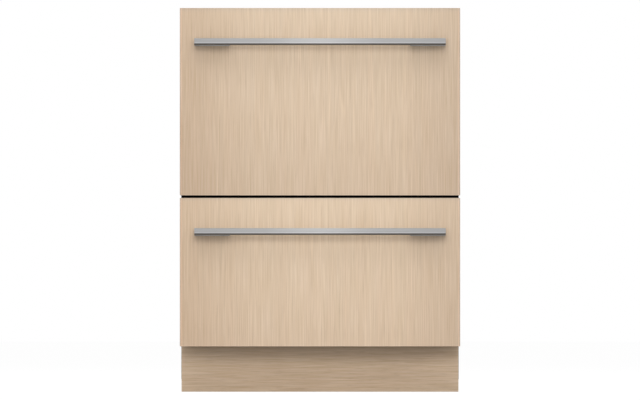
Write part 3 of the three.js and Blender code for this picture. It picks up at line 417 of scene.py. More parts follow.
def galvanised_steel(name):
    """Zinc-coated sheet: crystal spangle, soft streaks from rolling and a few dull marks."""
    look = Look(name, srgb(190, 194, 197), 0.42, 0.6)
    spangle = look.cells(120, look.place((1, 1, 0.7)))
    rolled = look.noise(1.0, look.place((5, 5, 70)), 3, 0.6)
    dull = look.noise(5.0, look.place(), 3, 0.5)
    tone = look.ramp(spangle, (0.0, srgb(180, 185, 189)), (1.0, srgb(193, 198, 202)))
    tone = look.times(tone, look.ramp(rolled, (0.3, 0.95), (0.7, 1.0)), share=0.7)
    tone = look.times(tone, look.ramp(dull, (0.35, 0.95), (0.6, 1.0)), share=0.6)
    crystal, patch = look.span(spangle, 0, 1, 0.32, 0.46), look.span(dull, 0.3, 0.7, 0.06, -0.03)
    gloss = look.math("ADD", crystal, patch)
    return look.close(tone, gloss, rolled, 0.05, 0.0002)


def moulded_plastic(name, tone, roughness, grain=900.0, strength=0.06):
    """Injection-moulded plastic: spark-eroded grain and a faint tone drift."""
    base = srgb(*tone)
    look = Look(name, base, roughness)
    speck = look.noise(grain, look.place(), 2, 0.5)
    drift = look.noise(7.0, look.place(), 2, 0.5)
    colour = look.ramp(drift, (0.3, tint(base, 0.94, 0.94, 0.94)), (0.7, base))
    gloss = look.span(speck, 0.3, 0.7, roughness - 0.05, roughness + 0.06)
    return look.close(colour, gloss, speck, strength, 0.0002)


PLASTICS = {  # colour, roughness, and where it differs the grain and its strength
    "frame_plastic": ((58, 60, 63), 0.5),
    "control_plastic": ((20, 21, 23), 0.18, 300, 0.01),
    "button_plastic": ((150, 154, 157), 0.35),
    "tub_plastic": ((205, 208, 210), 0.38),
    "white_plastic": ((232, 233, 233), 0.4),
    "indicator_lens": ((196, 204, 208), 0.12, 200, 0.01),
    "seal_rubber": ((34, 35, 37), 0.7, 500, 0.1),
    "rack_wire": ((172, 178, 184), 0.3, 300, 0.02),
    "basket_plastic": ((130, 137, 143), 0.45),
    "foot_plastic": ((28, 29, 30), 0.6),
}
SHEETS = {  # colour, roughness, metallic, spangle, and the black rail's low sheen
    # rail_black is near-black with almost no sheen: partly the rail's own black finish, partly painted shade
    # so the gap between the fronts reads as shadow.
    "rail_black": ((6, 5, 5), 0.9, 0.0, 200, 0.08),
    "runner_steel": ((178, 182, 184), 0.3, 1.0, 200),
    "screw_zinc": ((112, 114, 117), 0.34, 0.9, 300),
}
VENEERS = {  # light and dark tone
    "upper": ((220, 198, 172), (215, 193, 167)),
    # The lower front's veneer is painted a little lighter than the upper's, to make up for the less light it
    # gets.
    "lower": ((226, 203, 176), (221, 198, 171)),
    "toe": ((207, 183, 156), (189, 164, 137)),
}


def make_materials():
    finishes = {"toe_wood": wood_veneer("toe_wood", *VENEERS["toe"], upright=False, open_pore=0.88)}
    for drawer in DRAWERS:
        name = f"{drawer}_panel_wood"
        finishes[name] = wood_veneer(name, *VENEERS[drawer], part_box(f"{drawer}_front_panel"))
    finishes["panel_wood"] = finishes["upper_panel_wood"]
    for name, make in (("handle_aluminium", satin_aluminium), ("cabinet_steel", galvanised_steel)):
        finishes[name] = make(name)
    for make, table in ((sheet_metal, SHEETS), (moulded_plastic, PLASTICS)):
        finishes.update({name: make(name, *numbers) for name, numbers in table.items()})
    return finishes


def dress_nodes():
    """Every carried-over solid gets the finish of its slot, and the lower front its own veneer, painted a
    little lighter to make up for the less light it gets.
    """
    finish_of = {entry["node"]: entry["material_slot"] for entry in frame["record"]["subparts"]}
    # Painted light: the lower front takes the lighter copy of the veneer.
    finish_of["lower_front_panel"] = "lower_panel_wood"
    for name, finish in finish_of.items():
        slots = frame["nodes"][name].data.materials
        slots.clear()
        slots.append(MATERIALS[finish])


# ---- mesh helpers

def add_piece(name, body, finish, parts, stands_for=(), smooth_below=35):
    """Joins parts, which are meshes or (vertices, faces) pairs, into one finished piece.

    It rides on a body and stands for the named solids; edges below smooth_below degrees are shaded soft.
    """
    sheet = bmesh.new()
    for part in parts:
        mesh = part
        if isinstance(part, tuple):
            mesh = bpy.data.meshes.new("part")
            mesh.from_pydata([tuple(point) for point in part[0]], [], part[1])
        sheet.from_mesh(mesh)
        bpy.data.meshes.remove(mesh)
    bmesh.ops.remove_doubles(sheet, verts=sheet.verts, dist=1e-6)
    bmesh.ops.recalc_face_normals(sheet, faces=sheet.faces)
    mesh = bpy.data.meshes.new(name)
    sheet.to_mesh(mesh)
    sheet.free()
    mesh.shade_smooth()
    mesh.set_sharp_from_angle(angle=math.radians(smooth_below))
    mesh.materials.append(MATERIALS[finish])
    thing = bpy.data.objects.new(name, mesh)
    bpy.context.scene.collection.objects.link(thing)
    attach(thing, body)
    for node in stands_for:
        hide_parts(node)


def loft(rings, closed=False):
    """Faces between rings of equal length, with flat ends or joined end to end."""
    count, total = len(rings[0]), len(rings)
    faces = []
    for row in range(total if closed else total - 1):
        here, there = row * count, (row + 1) % total * count
        for i in range(count):
            j = (i + 1) % count
            faces.append((here + i, here + j, there + j, there + i))
    if not closed:
        faces += [tuple(reversed(range(count))), tuple(range((total - 1) * count, total * count))]
    return [point for ring in rings for point in ring], faces


def rounded(x0, x1, y0, y1, radius, steps):
    """The points of a rounded rectangle in a plane."""
    points = []
    corners = ((x1 - radius, y1 - radius), (x0 + radius, y1 - radius),
               (x0 + radius, y0 + radius), (x1 - radius, y0 + radius))
    for corner, (x, y) in enumerate(corners):
        for step in range(steps + 1):
            turn = (corner + step / steps) * math.pi / 2
            points.append((x + radius * math.cos(turn), y + radius * math.sin(turn)))
    return points


def level_ring(ring, height, steps=9):
    """A rounded rectangle (half width, front, back, corner radius) that lies level at a height; mm."""
    half, front, back, radius = ring
    return [at(x, y, height) for x, y in rounded(-half, half, front, back, radius, steps)]


def front_ring(low, high, inset, radius, y, steps=4):
    """A rounded rectangle that stands upright at depth y, drawn in from a box's sides; metres."""
    x0, x1, z0, z1 = low[0] + inset, high[0] - inset, low[2] + inset, high[2] - inset
    return [Vector((x, y, z)) for x, z in rounded(x0, x1, z0, z1, max(radius - inset, 0.0002), steps)]


def shrunk(ring, amount):
    """A level rounded rectangle drawn in on all sides."""
    half, front, back, radius = ring
    return half - amount, front + amount, back - amount, max(radius - amount, 0.8)


def round_hole(radius):
    """A nearly round opening at the tub's middle, in the form of a level ring."""
    return radius, TUB_MIDDLE - radius, TUB_MIDDLE + radius, radius - 0.4


def quarter(steps=6):
    """Sine and cosine pairs through a right angle, for fillets."""
    return [(math.sin(math.pi / 2 * i / steps), math.cos(math.pi / 2 * i / steps)) for i in range(steps + 1)]


def turns(count, shift=0.0):
    """Angles set evenly round a circle."""
    return [2 * math.pi * (i + shift) / count for i in range(count)]


def circle(radius, x, y, z, sides):
    return [at(x + radius * math.cos(turn), y + radius * math.sin(turn), z) for turn in turns(sides)]


def lathe(profile, x, y, z, sides=32):
    """A turned shape about an upright axis, from (radius, height) points between its flat ends."""
    return loft([circle(radius, x, y, z + height, sides) for radius, height in profile])


def soft_block(xs, ys, zs, edge=0.6):
    """A block whose upright edges and rims are broken by a small chamfer."""
    (x0, x1), (y0, y1), (z0, z1) = sorted(xs), ys, sorted(zs)
    rings = []
    for z, less in ((z0, edge), (z0 + edge, 0), (z1 - edge, 0), (z1, edge)):
        rings.append([at(x, y, z) for x, y in (
            (x1 - less, y0 + edge), (x1 - less, y1 - edge), (x1 - edge, y1 - less), (x0 + edge, y1 - less),
            (x0 + less, y1 - edge), (x0 + less, y0 + edge), (x0 + edge, y0 + less), (x1 - edge, y0 + less))])
    return loft(rings)


def steps_to(start, stop, pitch):
    """Even steps from start, as long as they stay short of stop."""
    places = []
    while start < stop:
        places.append(start)
        start += pitch
    return places


# ---- geometry node trees

class ShapeTree(NodeTree):
    """A geometry node tree whose sizes are named inputs."""

    def __init__(self, name, **sizes):
        super().__init__(bpy.data.node_groups.new(name, "GeometryNodeTree"))
        face = self.tree.interface
        face.new_socket("Carrier", in_out="INPUT", socket_type="NodeSocketGeometry")
        for key, value in sizes.items():
            kind = {int: "NodeSocketInt", float: "NodeSocketFloat"}.get(type(value), "NodeSocketVector")
            face.new_socket(key, in_out="INPUT", socket_type=kind).default_value = value
        face.new_socket("Finish", in_out="INPUT", socket_type="NodeSocketMaterial")
        face.new_socket("Shape", in_out="OUTPUT", socket_type="NodeSocketGeometry")
        self.given = self.tree.nodes.new("NodeGroupInput").outputs

    def __getitem__(self, key):
        return self.given[key]

    def shape(self, kind, inputs=None, **settings):
        return self.result("GeometryNode" + kind, inputs, **settings)

    def path(self):
        return self.shape("MeshToCurve", {"Mesh": self["Carrier"]})

    def tube(self, curve, radius, sides):
        """A round bar along a curve, closed at its ends."""
        section = self.shape("CurvePrimitiveCircle", {"Resolution": sides, "Radius": radius})
        return self.shape("CurveToMesh", {
            "Curve": curve, "Profile Curve": section, "Fill Caps": True})

    def sunk(self, mesh, top, share, depth):
        """Presses the middle of a top face down by a share of the tree's Rise."""
        inner = self.node("GeometryNodeExtrudeMesh", {
            "Mesh": mesh, "Selection": top, "Offset Scale": 0.0}, mode="FACES").outputs
        mouth = self.shape("ScaleElements", {
            "Geometry": inner["Mesh"], "Selection": inner["Top"], "Scale": share})
        drop = self.math("MULTIPLY", self["Rise"], depth)
        return self.shape("ExtrudeMesh", {
            "Mesh": mouth, "Selection": inner["Top"], "Offset Scale": drop}, mode="FACES")

    def close(self, shape):
        real = self.shape("RealizeInstances", {"Geometry": shape})
        dressed = self.shape("SetMaterial", {"Geometry": real, "Material": self["Finish"]})
        end = self.tree.nodes.new("NodeGroupOutput")
        self.tree.links.new(dressed, end.inputs[0])
        return self.tree

    def spread(self, shape, **where):
        """Sets the shape on every carrier point, or on the points given, and closes the tree."""
        places = {"Points": self["Carrier"], "Instance": shape}
        return self.close(self.shape("InstanceOnPoints", {**places, **where}))


def wire_tree():
    """Round wires along the carrier's lines, with their corners bent to a radius."""
    tree = ShapeTree("bent_wires", Radius=0.002, Bend=0.01, Steps=5, Sides=8)
    bent = tree.shape("FilletCurve", {
        "Curve": tree.path(), "Count": tree["Steps"], "Radius": tree["Bend"], "Limit Radius": True},
        mode="POLY")
    return tree.close(tree.tube(bent, tree["Radius"], tree["Sides"]))


def tine_tree():
    """An upright wire with a dipped round tip on every carrier point."""
    tree = ShapeTree("dipped_tines", Radius=0.0016, Height=0.09, Tip=0.002, Sides=8)
    end = tree.result("ShaderNodeCombineXYZ", {"Z": tree["Height"]})
    line = tree.shape("CurvePrimitiveLine", {"End": end})
    stem = tree.tube(line, tree["Radius"], tree["Sides"])
    ball = tree.shape("MeshUVSphere", {
        "Segments": tree["Sides"], "Rings": 5, "Radius": tree["Tip"]})
    raised = tree.shape("Transform", {"Geometry": ball, "Translation": end, "Scale": (1, 1, 1.8)})
    join = tree.tree.nodes.new("GeometryNodeJoinGeometry")
    for shape in (stem, raised):
        tree.tree.links.new(shape, join.inputs[0])
    return tree.spread(join.outputs[0])


def slat_tree():
    """Flat upright slats set evenly along the carrier's closed line, each turned to follow it."""
    tree = ShapeTree("basket_slats", Count=40, Thickness=0.0024, Width=0.004, Height=0.1)
    places = tree.node("GeometryNodeCurveToPoints", {
        "Curve": tree.path(), "Count": tree["Count"]}, mode="COUNT").outputs
    turn = tree.result("FunctionNodeAlignEulerToVector", {"Vector": places["Tangent"]},
                       axis="X", pivot_axis="Z")
    size = tree.result("ShaderNodeCombineXYZ", {
        "X": tree["Width"], "Y": tree["Thickness"], "Z": tree["Height"]})
    slat = tree.shape("MeshCube", {"Size": size, "Vertices Z": 3})
    return tree.spread(slat, Points=places["Points"], Rotation=turn)


def block_tree():
    """The same small block on every carrier point, such as a rib or an indicator window."""
    tree = ShapeTree("ribs", Size=(0.01, 0.003, 0.01))
    return tree.spread(tree.shape("MeshCube", {"Size": tree["Size"]}))


def screw_tree():
    """A pan-head screw with a socket on every carrier point, turned the same way."""
    tree = ShapeTree("pan_head_screws", Radius=0.004, Rise=0.0018, Turn=(0.0, 0.0, 0.0))
    disc = tree.shape("MeshCircle", {"Vertices": 14, "Radius": tree["Radius"]}, fill_type="NGON")
    rim = tree.node("GeometryNodeExtrudeMesh", {
        "Mesh": disc, "Offset Scale": tree["Rise"]}, mode="FACES").outputs
    crown = tree.shape("ScaleElements", {
        "Geometry": rim["Mesh"], "Selection": rim["Top"], "Scale": 0.78})
    return tree.spread(tree.sunk(crown, rim["Top"], 0.5, -0.7), Rotation=tree["Turn"])


def nozzle_tree():
    """A spray nozzle, a stub cone with a sunk mouth, on every carrier point."""
    tree = ShapeTree("spray_nozzles", Base=0.006, Crown=0.004, Rise=0.003)
    cone = tree.node("GeometryNodeMeshCone", {
        "Vertices": 20, "Radius Top": tree["Crown"], "Radius Bottom": tree["Base"],
        "Depth": tree["Rise"]}).outputs
    return tree.spread(tree.sunk(cone["Mesh"], cone["Top"], 0.45, -0.6))


def thread_tree():
    """A screw thread that climbs round each carrier point."""
    tree = ShapeTree("stud_thread", Radius=0.0056, Height=0.03, Turns=18.0, Ridge=0.0005)
    coil = tree.shape("CurveSpiral", {
        "Resolution": 16, "Rotations": tree["Turns"], "Start Radius": tree["Radius"],
        "End Radius": tree["Radius"], "Height": tree["Height"]})
    return tree.spread(tree.tube(coil, tree["Ridge"], 4))


def grown(kind, finish, points, edges=(), **sizes):
    """Runs a tree on a carrier of points and lines, and gives the result as a plain mesh."""
    carrier = bpy.data.meshes.new("carrier")
    carrier.from_pydata([tuple(point) for point in points], edges, [])
    thing = bpy.data.objects.new("carrier", carrier)
    bpy.context.scene.collection.objects.link(thing)
    modifier = thing.modifiers.new("shape", "NODES")
    modifier.node_group = TREES[kind]
    values = dict(sizes, Finish=MATERIALS[finish])
    for item in TREES[kind].interface.items_tree:
        if item.in_out == "INPUT" and item.name in values:
            modifier[item.identifier] = values[item.name]
    bpy.context.view_layer.update()
    seen = thing.evaluated_get(bpy.context.evaluated_depsgraph_get())
    plain = bpy.data.meshes.new_from_object(seen)
    thing.modifiers.remove(modifier)
    bpy.data.objects.remove(thing)
    bpy.data.meshes.remove(carrier)
    return plain


def wires(finish, paths, radius, bend=0.0, steps=1, sides=8, closed=False):
    """Round wires through the points of each path; mm."""
    points, edges = [], []
    for path in paths:
        first = len(points)
        points.extend(path)
        edges.extend((first + i, first + i + 1) for i in range(len(path) - 1))
        if closed:
            edges.append((len(points) - 1, first))
    return grown("wire", finish, points, edges, Radius=radius * MM, Bend=bend * MM, Steps=steps, Sides=sides)


def blocks(finish, places, *size):
    return grown("block", finish, places, Size=tuple(side * MM for side in size))


def thread(finish, place, radius, height, rounds, ridge=0.55):
    return grown("thread", finish, [place], Radius=radius * MM, Height=height * MM, Turns=rounds,
                 Ridge=ridge * MM)


def spokes(inner, outer, count, z, shift=0.0):
    """Lines that run straight out from the tub's middle."""
    return [[at(reach * math.cos(turn), TUB_MIDDLE + reach * math.sin(turn), z) for reach in (inner, outer)]
            for turn in turns(count, shift)]


# ---- handles

def bar_profile(top, grow=0.0, steps=14):
    """The bar's (y, z) outline: flat face, small upper edges, and a broad undercut lower front edge."""
    front, back = HANDLE.front - grow, HANDLE.front + HANDLE.depth + grow
    high, low = top - HANDLE.head_ease + grow, top - HANDLE.height + HANDLE.foot_ease - grow
    depth, rise, arris = HANDLE.low_depth, HANDLE.low_height, HANDLE.arris
    points = []
    for i in range(steps + 1):
        turn = math.pi / 2 * i / steps
        points.append((front + arris + (depth - arris) * (1 - math.sin(turn)),
                       low + rise * (1 - math.cos(turn))))
    points += [(front + 0.1 * arris, low + rise + 2.2), (front, low + rise + 2.5)]
    for corner_y, corner_z, start in ((front, high, math.pi), (back, high, math.pi / 2), (back, low, 0.0)):
        radius = 1.0 if corner_z == high else 0.7
        centre_y = corner_y + (radius if corner_y == front else -radius)
        centre_z = corner_z - radius if corner_z == high else corner_z + radius
        for i in range(5):
            turn = start - math.pi / 2 * i / 4
            points.append((centre_y + radius * math.cos(turn), centre_z + radius * math.sin(turn)))
    return points


def make_handle_bar(drawer):
    top, half = LEVELS[drawer].panel_top - HANDLE.drop, HANDLE.half
    ends = ((half, -0.7), (half - 0.25, -0.2), (half - 0.8, 0.0))
    rings = [[at(x, y, z) for y, z in bar_profile(top, grow)]
             for x, grow in [(-x, grow) for x, grow in ends] + list(reversed(ends))]
    add_piece(f"{drawer}_bar_extrusion", f"{drawer}_drawer", "handle_aluminium", [loft(rings)],
              [f"{drawer}_handle_bar"], 30)


# ---- racks and tines

def length_wire_x(column):
    return (2 * column / (WIRE.columns - 1) - 1) * (TUB.half - 62)


def cross_wire_y(row):
    return TUB_MIDDLE + (row - (WIRE.rows - 1) / 2) * WIRE.row_pitch + 12.5


def tines(places):
    return grown("tine", "rack_wire", places, Radius=WIRE.tine * MM, Height=(WIRE.height - 3.6) * MM,
                 Tip=2.0 * MM, Sides=8)


def rod_clip(x, y, z, under):
    """A moulded clip that holds the folding row's rod."""
    outer, hole, half = 4.7, 3.0, 3.0
    rings = []
    for radius, side in ((outer, -half), (outer, half), (hole, half), (hole, -half)):
        ring = []
        for turn in turns(24):
            dy, dz = radius * math.cos(turn), radius * math.sin(turn)
            if radius == outer and dz < 0:
                dy, dz = math.copysign(min(abs(dy) * 1.25, outer), dy), max(dz * 1.7, under - z)
            ring.append(at(x + side, y + dy, z + dz))
        rings.append(ring)
    return loft(rings, closed=True)


def make_rack(drawer):
    """The wire rack with its fixed tines, and the row of tines that folds on a rod held by two clips."""
    level = LEVELS[drawer]
    top, low = level.rim - RACK.drop, level.rack
    half, front, back = RACK.half, RACK.front, RACK.back
    lean, bend = RACK.lean, RACK.bend
    loops = [[at(x, y, z) for x, y in ((inset - half, front + inset), (half - inset, front + inset),
                                       (half - inset, back - inset), (inset - half, back - inset))]
             for inset, z in ((0, top), (2.2, (top + low) / 2 + 8))]
    side = [(half, top), (half - lean, low + bend), (half - lean - bend, low)]
    rods = [[at(-x, y, z) for x, z in side] + [at(x, y, z) for x, z in reversed(side)]
            for y in map(cross_wire_y, range(WIRE.rows))]
    under = low - 1.7 * WIRE.rod
    rods += [[at(x, y, z) for y, z in (
        (front, top), (front + lean, low + bend), (front + lean + bend, under),
        (back - lean - bend, under), (back - lean, low + bend), (back, top))]
        for x in map(length_wire_x, range(WIRE.columns))]
    legs = [[at(length_wire_x(column), cross_wire_y(row), z) for z in (level.floor + 0.3, low)]
            for column in (0, 5) for row in (1, 4)]
    fixed = [at(x, cross_wire_y(row), low) for row, limit in ((0, 63), (1, 63), (4, 200), (5, 200))
             for x in steps_to(length_wire_x(0) + WIRE.pitch / 6, limit, WIRE.pitch)]
    rod_y, rod_z = cross_wire_y(2) + WIRE.row_pitch / 3, low + 4.6
    parts = [wires("rack_wire", loops, WIRE.loop, RACK.corner, 8, 10, closed=True),
             wires("rack_wire", rods, WIRE.rod, 12, 5), wires("rack_wire", legs, WIRE.loop, sides=10),
             tines(fixed)]
    parts += [rod_clip(length_wire_x(column), rod_y, rod_z, under - 0.9) for column in (0, 3)]
    add_piece(f"{drawer}_rack_wires", f"{drawer}_drawer", "rack_wire", parts, [f"{drawer}_rack"], 50)

    ends = [at(length_wire_x(column) + reach, rod_y, rod_z) for column, reach in ((0, -4.4), (3, 4.4))]
    folding = [at(x, rod_y, rod_z) for x in steps_to(
        length_wire_x(0) + WIRE.pitch / 3, length_wire_x(3) - WIRE.pitch / 5, WIRE.pitch)]
    add_piece(f"{drawer}_folding_tines", f"{drawer}_tine_row", "rack_wire",
              [wires("rack_wire", [ends], 2.3, sides=12), tines(folding)], [f"{drawer}_tine_row"], 50)


# ---- tubs

def tub_shell(drawer):
    """The moulding as one skin: pump housing, outside, rim flange, inside and sump."""
    rim, floor = LEVELS[drawer].rim, LEVELS[drawer].floor
    wall, fillet, sump, depth = TUB.wall, TUB.fillet, SUMP.radius, SUMP.depth
    mouth = (TUB.half, TUB.front, TUB.back, TUB.corner)
    base = (TUB.half - TUB.draft, *mouth[1:])
    under = shrunk(base, -wall)
    flange = (TUB.half + FLANGE.width, FLANGE.front, TUB.back + FLANGE.width / 2,
              TUB.corner + FLANGE.width / 2)
    lip, lip_foot = shrunk(flange, FLANGE.wall), rim - FLANGE.lip
    underside, housing = floor - wall, floor - depth - SUMP.pump
    steps = [(round_hole(sump + 2), housing), (round_hole(sump + 5), housing + 1.5),
             (round_hole(sump + 6), housing + 4), (round_hole(sump + 6), underside)]
    steps += [(shrunk(under, fillet * (1 - s)), underside + fillet * (1 - c)) for s, c in quarter()]
    steps += [(shrunk(mouth, -wall), rim - wall - 3), (shrunk(mouth, -wall - 1), rim - wall - 0.8),
              (shrunk(mouth, -wall - 3), rim - wall), (shrunk(lip, 2), rim - wall), (lip, rim - wall - 2),
              (lip, lip_foot), (flange, lip_foot)]
    steps += [(shrunk(flange, 2.5 * (1 - c)), rim - 2.5 * (1 - s)) for s, c in quarter(4)]
    steps += [(shrunk(mouth, -2.5 * (1 - s)), rim - 2.5 * (1 - c)) for s, c in quarter(4)]
    steps += [(shrunk(base, fillet * (1 - c)), floor + fillet * (1 - s)) for s, c in quarter(8)]
    steps += [(round_hole(sump + 2), floor), (round_hole(sump), floor - 2),
              (round_hole(sump - 5), floor - depth + 5), (round_hole(sump - 10), floor - depth)]
    return loft([level_ring(ring, height) for ring, height in steps])


def make_tub(drawer):
    """The tub with its drive shaft, ribbed runner brackets, and the ribs under its pump housing."""
    level, wall = LEVELS[drawer], TUB.wall
    rim, floor, z = level.rim, level.floor, level.runner
    shaft = lathe([(11, -1), (8, 3), (6, 8), (6, 45), (5, 46)], 0, TUB_MIDDLE, floor - SUMP.depth)
    parts = [tub_shell(drawer), shaft]
    reach = RUNNER.inner - 0.3
    root = TUB.half - TUB.draft * (rim - z) / (rim - floor + wall) + wall / 3
    y0, y1 = RUNNER.front + 12, TUB.back - TUB.corner
    for side in SIDES:
        parts.append(soft_block((side * root, side * reach), (y0, y1), (z + 8, z + 11), 0.5))
        parts.append(soft_block((side * (reach - 3), side * reach), (y0, y1), (z - 11, z + 9), 0.5))
        ribs = [at(side * (root + reach) / 2, y0 + 1.5 + (y1 - y0 - 3) * i / 12, z - 1.2) for i in range(13)]
        parts.append(blocks("tub_plastic", ribs, reach - root - 1, 2.2, 19))
    housing = floor - SUMP.depth - SUMP.pump
    parts.append(wires("tub_plastic", spokes(58, 84, 20, housing + 1.2, 0.5), 1.1, sides=6))
    add_piece(f"{drawer}_tub_shell", f"{drawer}_drawer", "tub_plastic", parts, [f"{drawer}_tub"], 40)


# ---- cutlery baskets

def make_basket(drawer):
    """A moulded basket: bands, upright slats between them, a divider and a bow handle."""
    bottom = LEVELS[drawer].rack + WIRE.rod + 0.3
    top = bottom + BASKET.height
    half, front, x = BASKET.width / 2, BASKET.front, BASKET.x
    outer = (half, front, front + BASKET.length, 10)

    def shifted(ring, z):
        return [point + Vector((x * MM, 0, 0)) for point in level_ring(ring, z, 6)]

    def band(low, high, grow, wall):
        face, inner = shrunk(outer, -grow), shrunk(outer, wall)
        rim, lip = shrunk(face, 0.5), shrunk(inner, -0.5)
        return loft([shifted(ring, z) for ring, z in (
            (face, low + 0.5), (face, high - 0.6), (rim, high), (lip, high), (inner, high - 0.6),
            (inner, low + 0.5), (lip, low), (rim, low))], closed=True)

    floor_plate = loft([shifted(shrunk(outer, less), bottom + rise)
                        for less, rise in ((4.5, 0), (4, 0.6), (3.2, 3), (4, 3.4))])
    path = shifted(shrunk(outer, 2.6), (bottom + top) / 2)
    slats = grown("slat", "basket_plastic", path, [(i, (i + 1) % len(path)) for i in range(len(path))],
                  Count=66, Thickness=2.0 * MM, Width=3.6 * MM, Height=(BASKET.height - 5) * MM)
    middle = front + BASKET.length / 2
    arch = [at(x + dx, middle, z) for dx, z in (
        (-half + 1.5, top - 12), (-half + 5, top + 13.5), (half - 5, top + 13.5), (half - 1.5, top - 12))]
    divider = soft_block((x - half + 3, x + half - 3), (middle - 1, middle + 1), (bottom + 2, top - 6), 0.4)
    parts = [floor_plate, band(top - 9, top, 1.4, 1.2), band(bottom + 50, bottom + 55, 0, 1.6),
             band(bottom + 2, bottom + 12, -2.4, 4.4), slats, divider,
             wires("basket_plastic", [arch], 2.9, 16, 8, 12)]
    add_piece(f"{drawer}_basket_lattice", f"{drawer}_drawer", "basket_plastic", parts,
              [f"{drawer}_cutlery_basket"], 40)


# ---- wood boards and handle ends

def eased_board(name, node, body, finish, arris, corner, foot=0.0, head=0.0):
    """A board or block in a node's box, its edges rounded over, its foot and head moved out a little; mm."""
    low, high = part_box(node)
    low, high = (low[0], low[1], low[2] - foot * MM), (high[0], high[1], high[2] + head * MM)
    arris, corner, arc = arris * MM, corner * MM, quarter(3)
    rings = [front_ring(low, high, arris * (1 - s), corner, low[1] + arris * (1 - c)) for s, c in arc]
    rings += [front_ring(low, high, arris * (1 - c), corner, high[1] - arris * (1 - s)) for s, c in arc]
    add_piece(name, body, finish, [loft(rings)], [node], 30)


def make_fronts(drawer):
    """A drawer's wood front and the two blocks that stand its handle off."""
    foot, head = (-0.4, 0.0) if drawer == "upper" else (0.0, -0.4)
    eased_board(f"{drawer}_wood_front", f"{drawer}_front_panel", f"{drawer}_drawer", f"{drawer}_panel_wood",
                arris=0.35, corner=0.7, foot=foot, head=head)
    for side in ("left", "right"):
        eased_board(f"{drawer}_bar_end_{side}", f"{drawer}_handle_mount_{side}", f"{drawer}_drawer",
                    "handle_aluminium", arris=0.5, corner=1.2, foot=1.1, head=-1.2)


def make_plinth():
    """The toe kick board, and black covers over the side panels' flanges at the ends of the gap: dark sheets
    that stand in for the gap's shade there.
    """
    eased_board("toe_kick_board", "toe_kick_panel", "cabinet", "toe_wood", arris=0.3, corner=0.6, foot=0.45)
    flange, cover_faces, heights = 17, (42.1, 42.9), box_mm("divider_rail")[2]
    edge = box_mm("side_panel_right")[0][1] - 0.3
    covers = [soft_block((side * (edge - flange), side * edge), cover_faces, heights, 0.2) for side in SIDES]
    # Painted shade: black covers that keep the ends of the gap dark.
    add_piece("gap_shade_covers", "cabinet", "rail_black", covers)


# ---- control strip

CAP_PROFILE = [  # radius and height over the strip, from the stem's foot by the flange to the dished top
    (2.6, -14), (3, -13.6), (3, -5.7), (10.6, -5.7), (11, -5.4), (11, -4.5), (10.6, -4.2), (9, -4.2),
    (9, 0.5), (8.8, 1.0), (8.3, 1.2), (7.4, 1.2), (6.4, 0.95), (3.5, 0.7)]
WINDOW = (9, 2.2, 0.3)
WINDOW_PITCH, WINDOW_COUNT = 28, 6


def make_controls(drawer):
    """Two dished buttons on their stems, and a row of indicator windows between them."""
    top = box_mm(f"{drawer}_control_panel")[2][1]
    for key in ("power", "start"):
        node = f"{drawer}_{key}_button"
        cap = lathe(CAP_PROFILE, sum(box_mm(node)[0]) / 2, CONTROL_MIDDLE, top, 40)
        add_piece(f"{drawer}_{key}_cap", node, "button_plastic", [cap], [node], 30)
    start = -WINDOW_PITCH * (WINDOW_COUNT - 1) / 2
    places = [at(start + WINDOW_PITCH * i, CONTROL_MIDDLE, top + 0.1) for i in range(WINDOW_COUNT)]
    add_piece(f"{drawer}_indicator_windows", f"{drawer}_drawer", "indicator_lens",
              [blocks("indicator_lens", places, *WINDOW)])


# ---- lids and their seals

def lid_ring(less=0.0):
    half, front = TUB.half + FLANGE.width - 3, FLANGE.front + 2
    return shrunk((half, front, TUB.back + FLANGE.width / 2 - 2, TUB.corner + 4), less)


def make_lid(drawer):
    """The lid with its four hanger lugs and stiffening ribs, and the seal in its groove."""
    bottom, top = box_mm(f"{drawer}_lid")[2]
    flat = top - 3
    steps = [(30, bottom + 8), (29, bottom + 5), (23, bottom + 0.8), (21.5, bottom), (1.5, bottom),
             (0.4, bottom + 0.5), (0, bottom + 1.5), (0, flat - 3), (0.7, flat - 1.4), (2, flat - 0.4),
             (3.5, flat), (40, flat), (42, flat + 0.3), (50, top - 0.3), (52, top)]
    half, front, back, _ = lid_ring()
    parts = [loft([level_ring(lid_ring(less), height, 7) for less, height in steps])]
    reach = -box_mm("back_panel")[0][0]
    for y in (front + 70, back - 70):
        for side in SIDES:
            parts.append(soft_block((side * (half - 4), side * reach), (y - 15, y + 15),
                                    (bottom + 1.5, bottom + 7.5), 0.8))
    ribs = [at(-200 + 400 * i / 8, (front + back) / 2, bottom + 7.3) for i in range(9)]
    parts.append(blocks("white_plastic", ribs, 2, 400, 3))
    add_piece(f"{drawer}_lid_cover", f"{drawer}_lid", "white_plastic", parts, [f"{drawer}_lid"], 40)

    bottom, top = box_mm(f"{drawer}_lid_seal")[2]
    flank = [(4.5, top), (4.5, top - 1.6), (3.9, top - 3), (2.9, bottom + 1.6), (1.2, bottom + 0.2)]
    section = flank + [(0, bottom)] + [(-less, height) for less, height in reversed(flank)]
    middle = lid_ring(9.5)
    gasket = loft([level_ring(shrunk(middle, less), height, 7) for less, height in section], closed=True)
    add_piece(f"{drawer}_lid_gasket", f"{drawer}_lid", "seal_rubber", [gasket], [f"{drawer}_lid_seal"], 50)


# ---- spray arms and filters

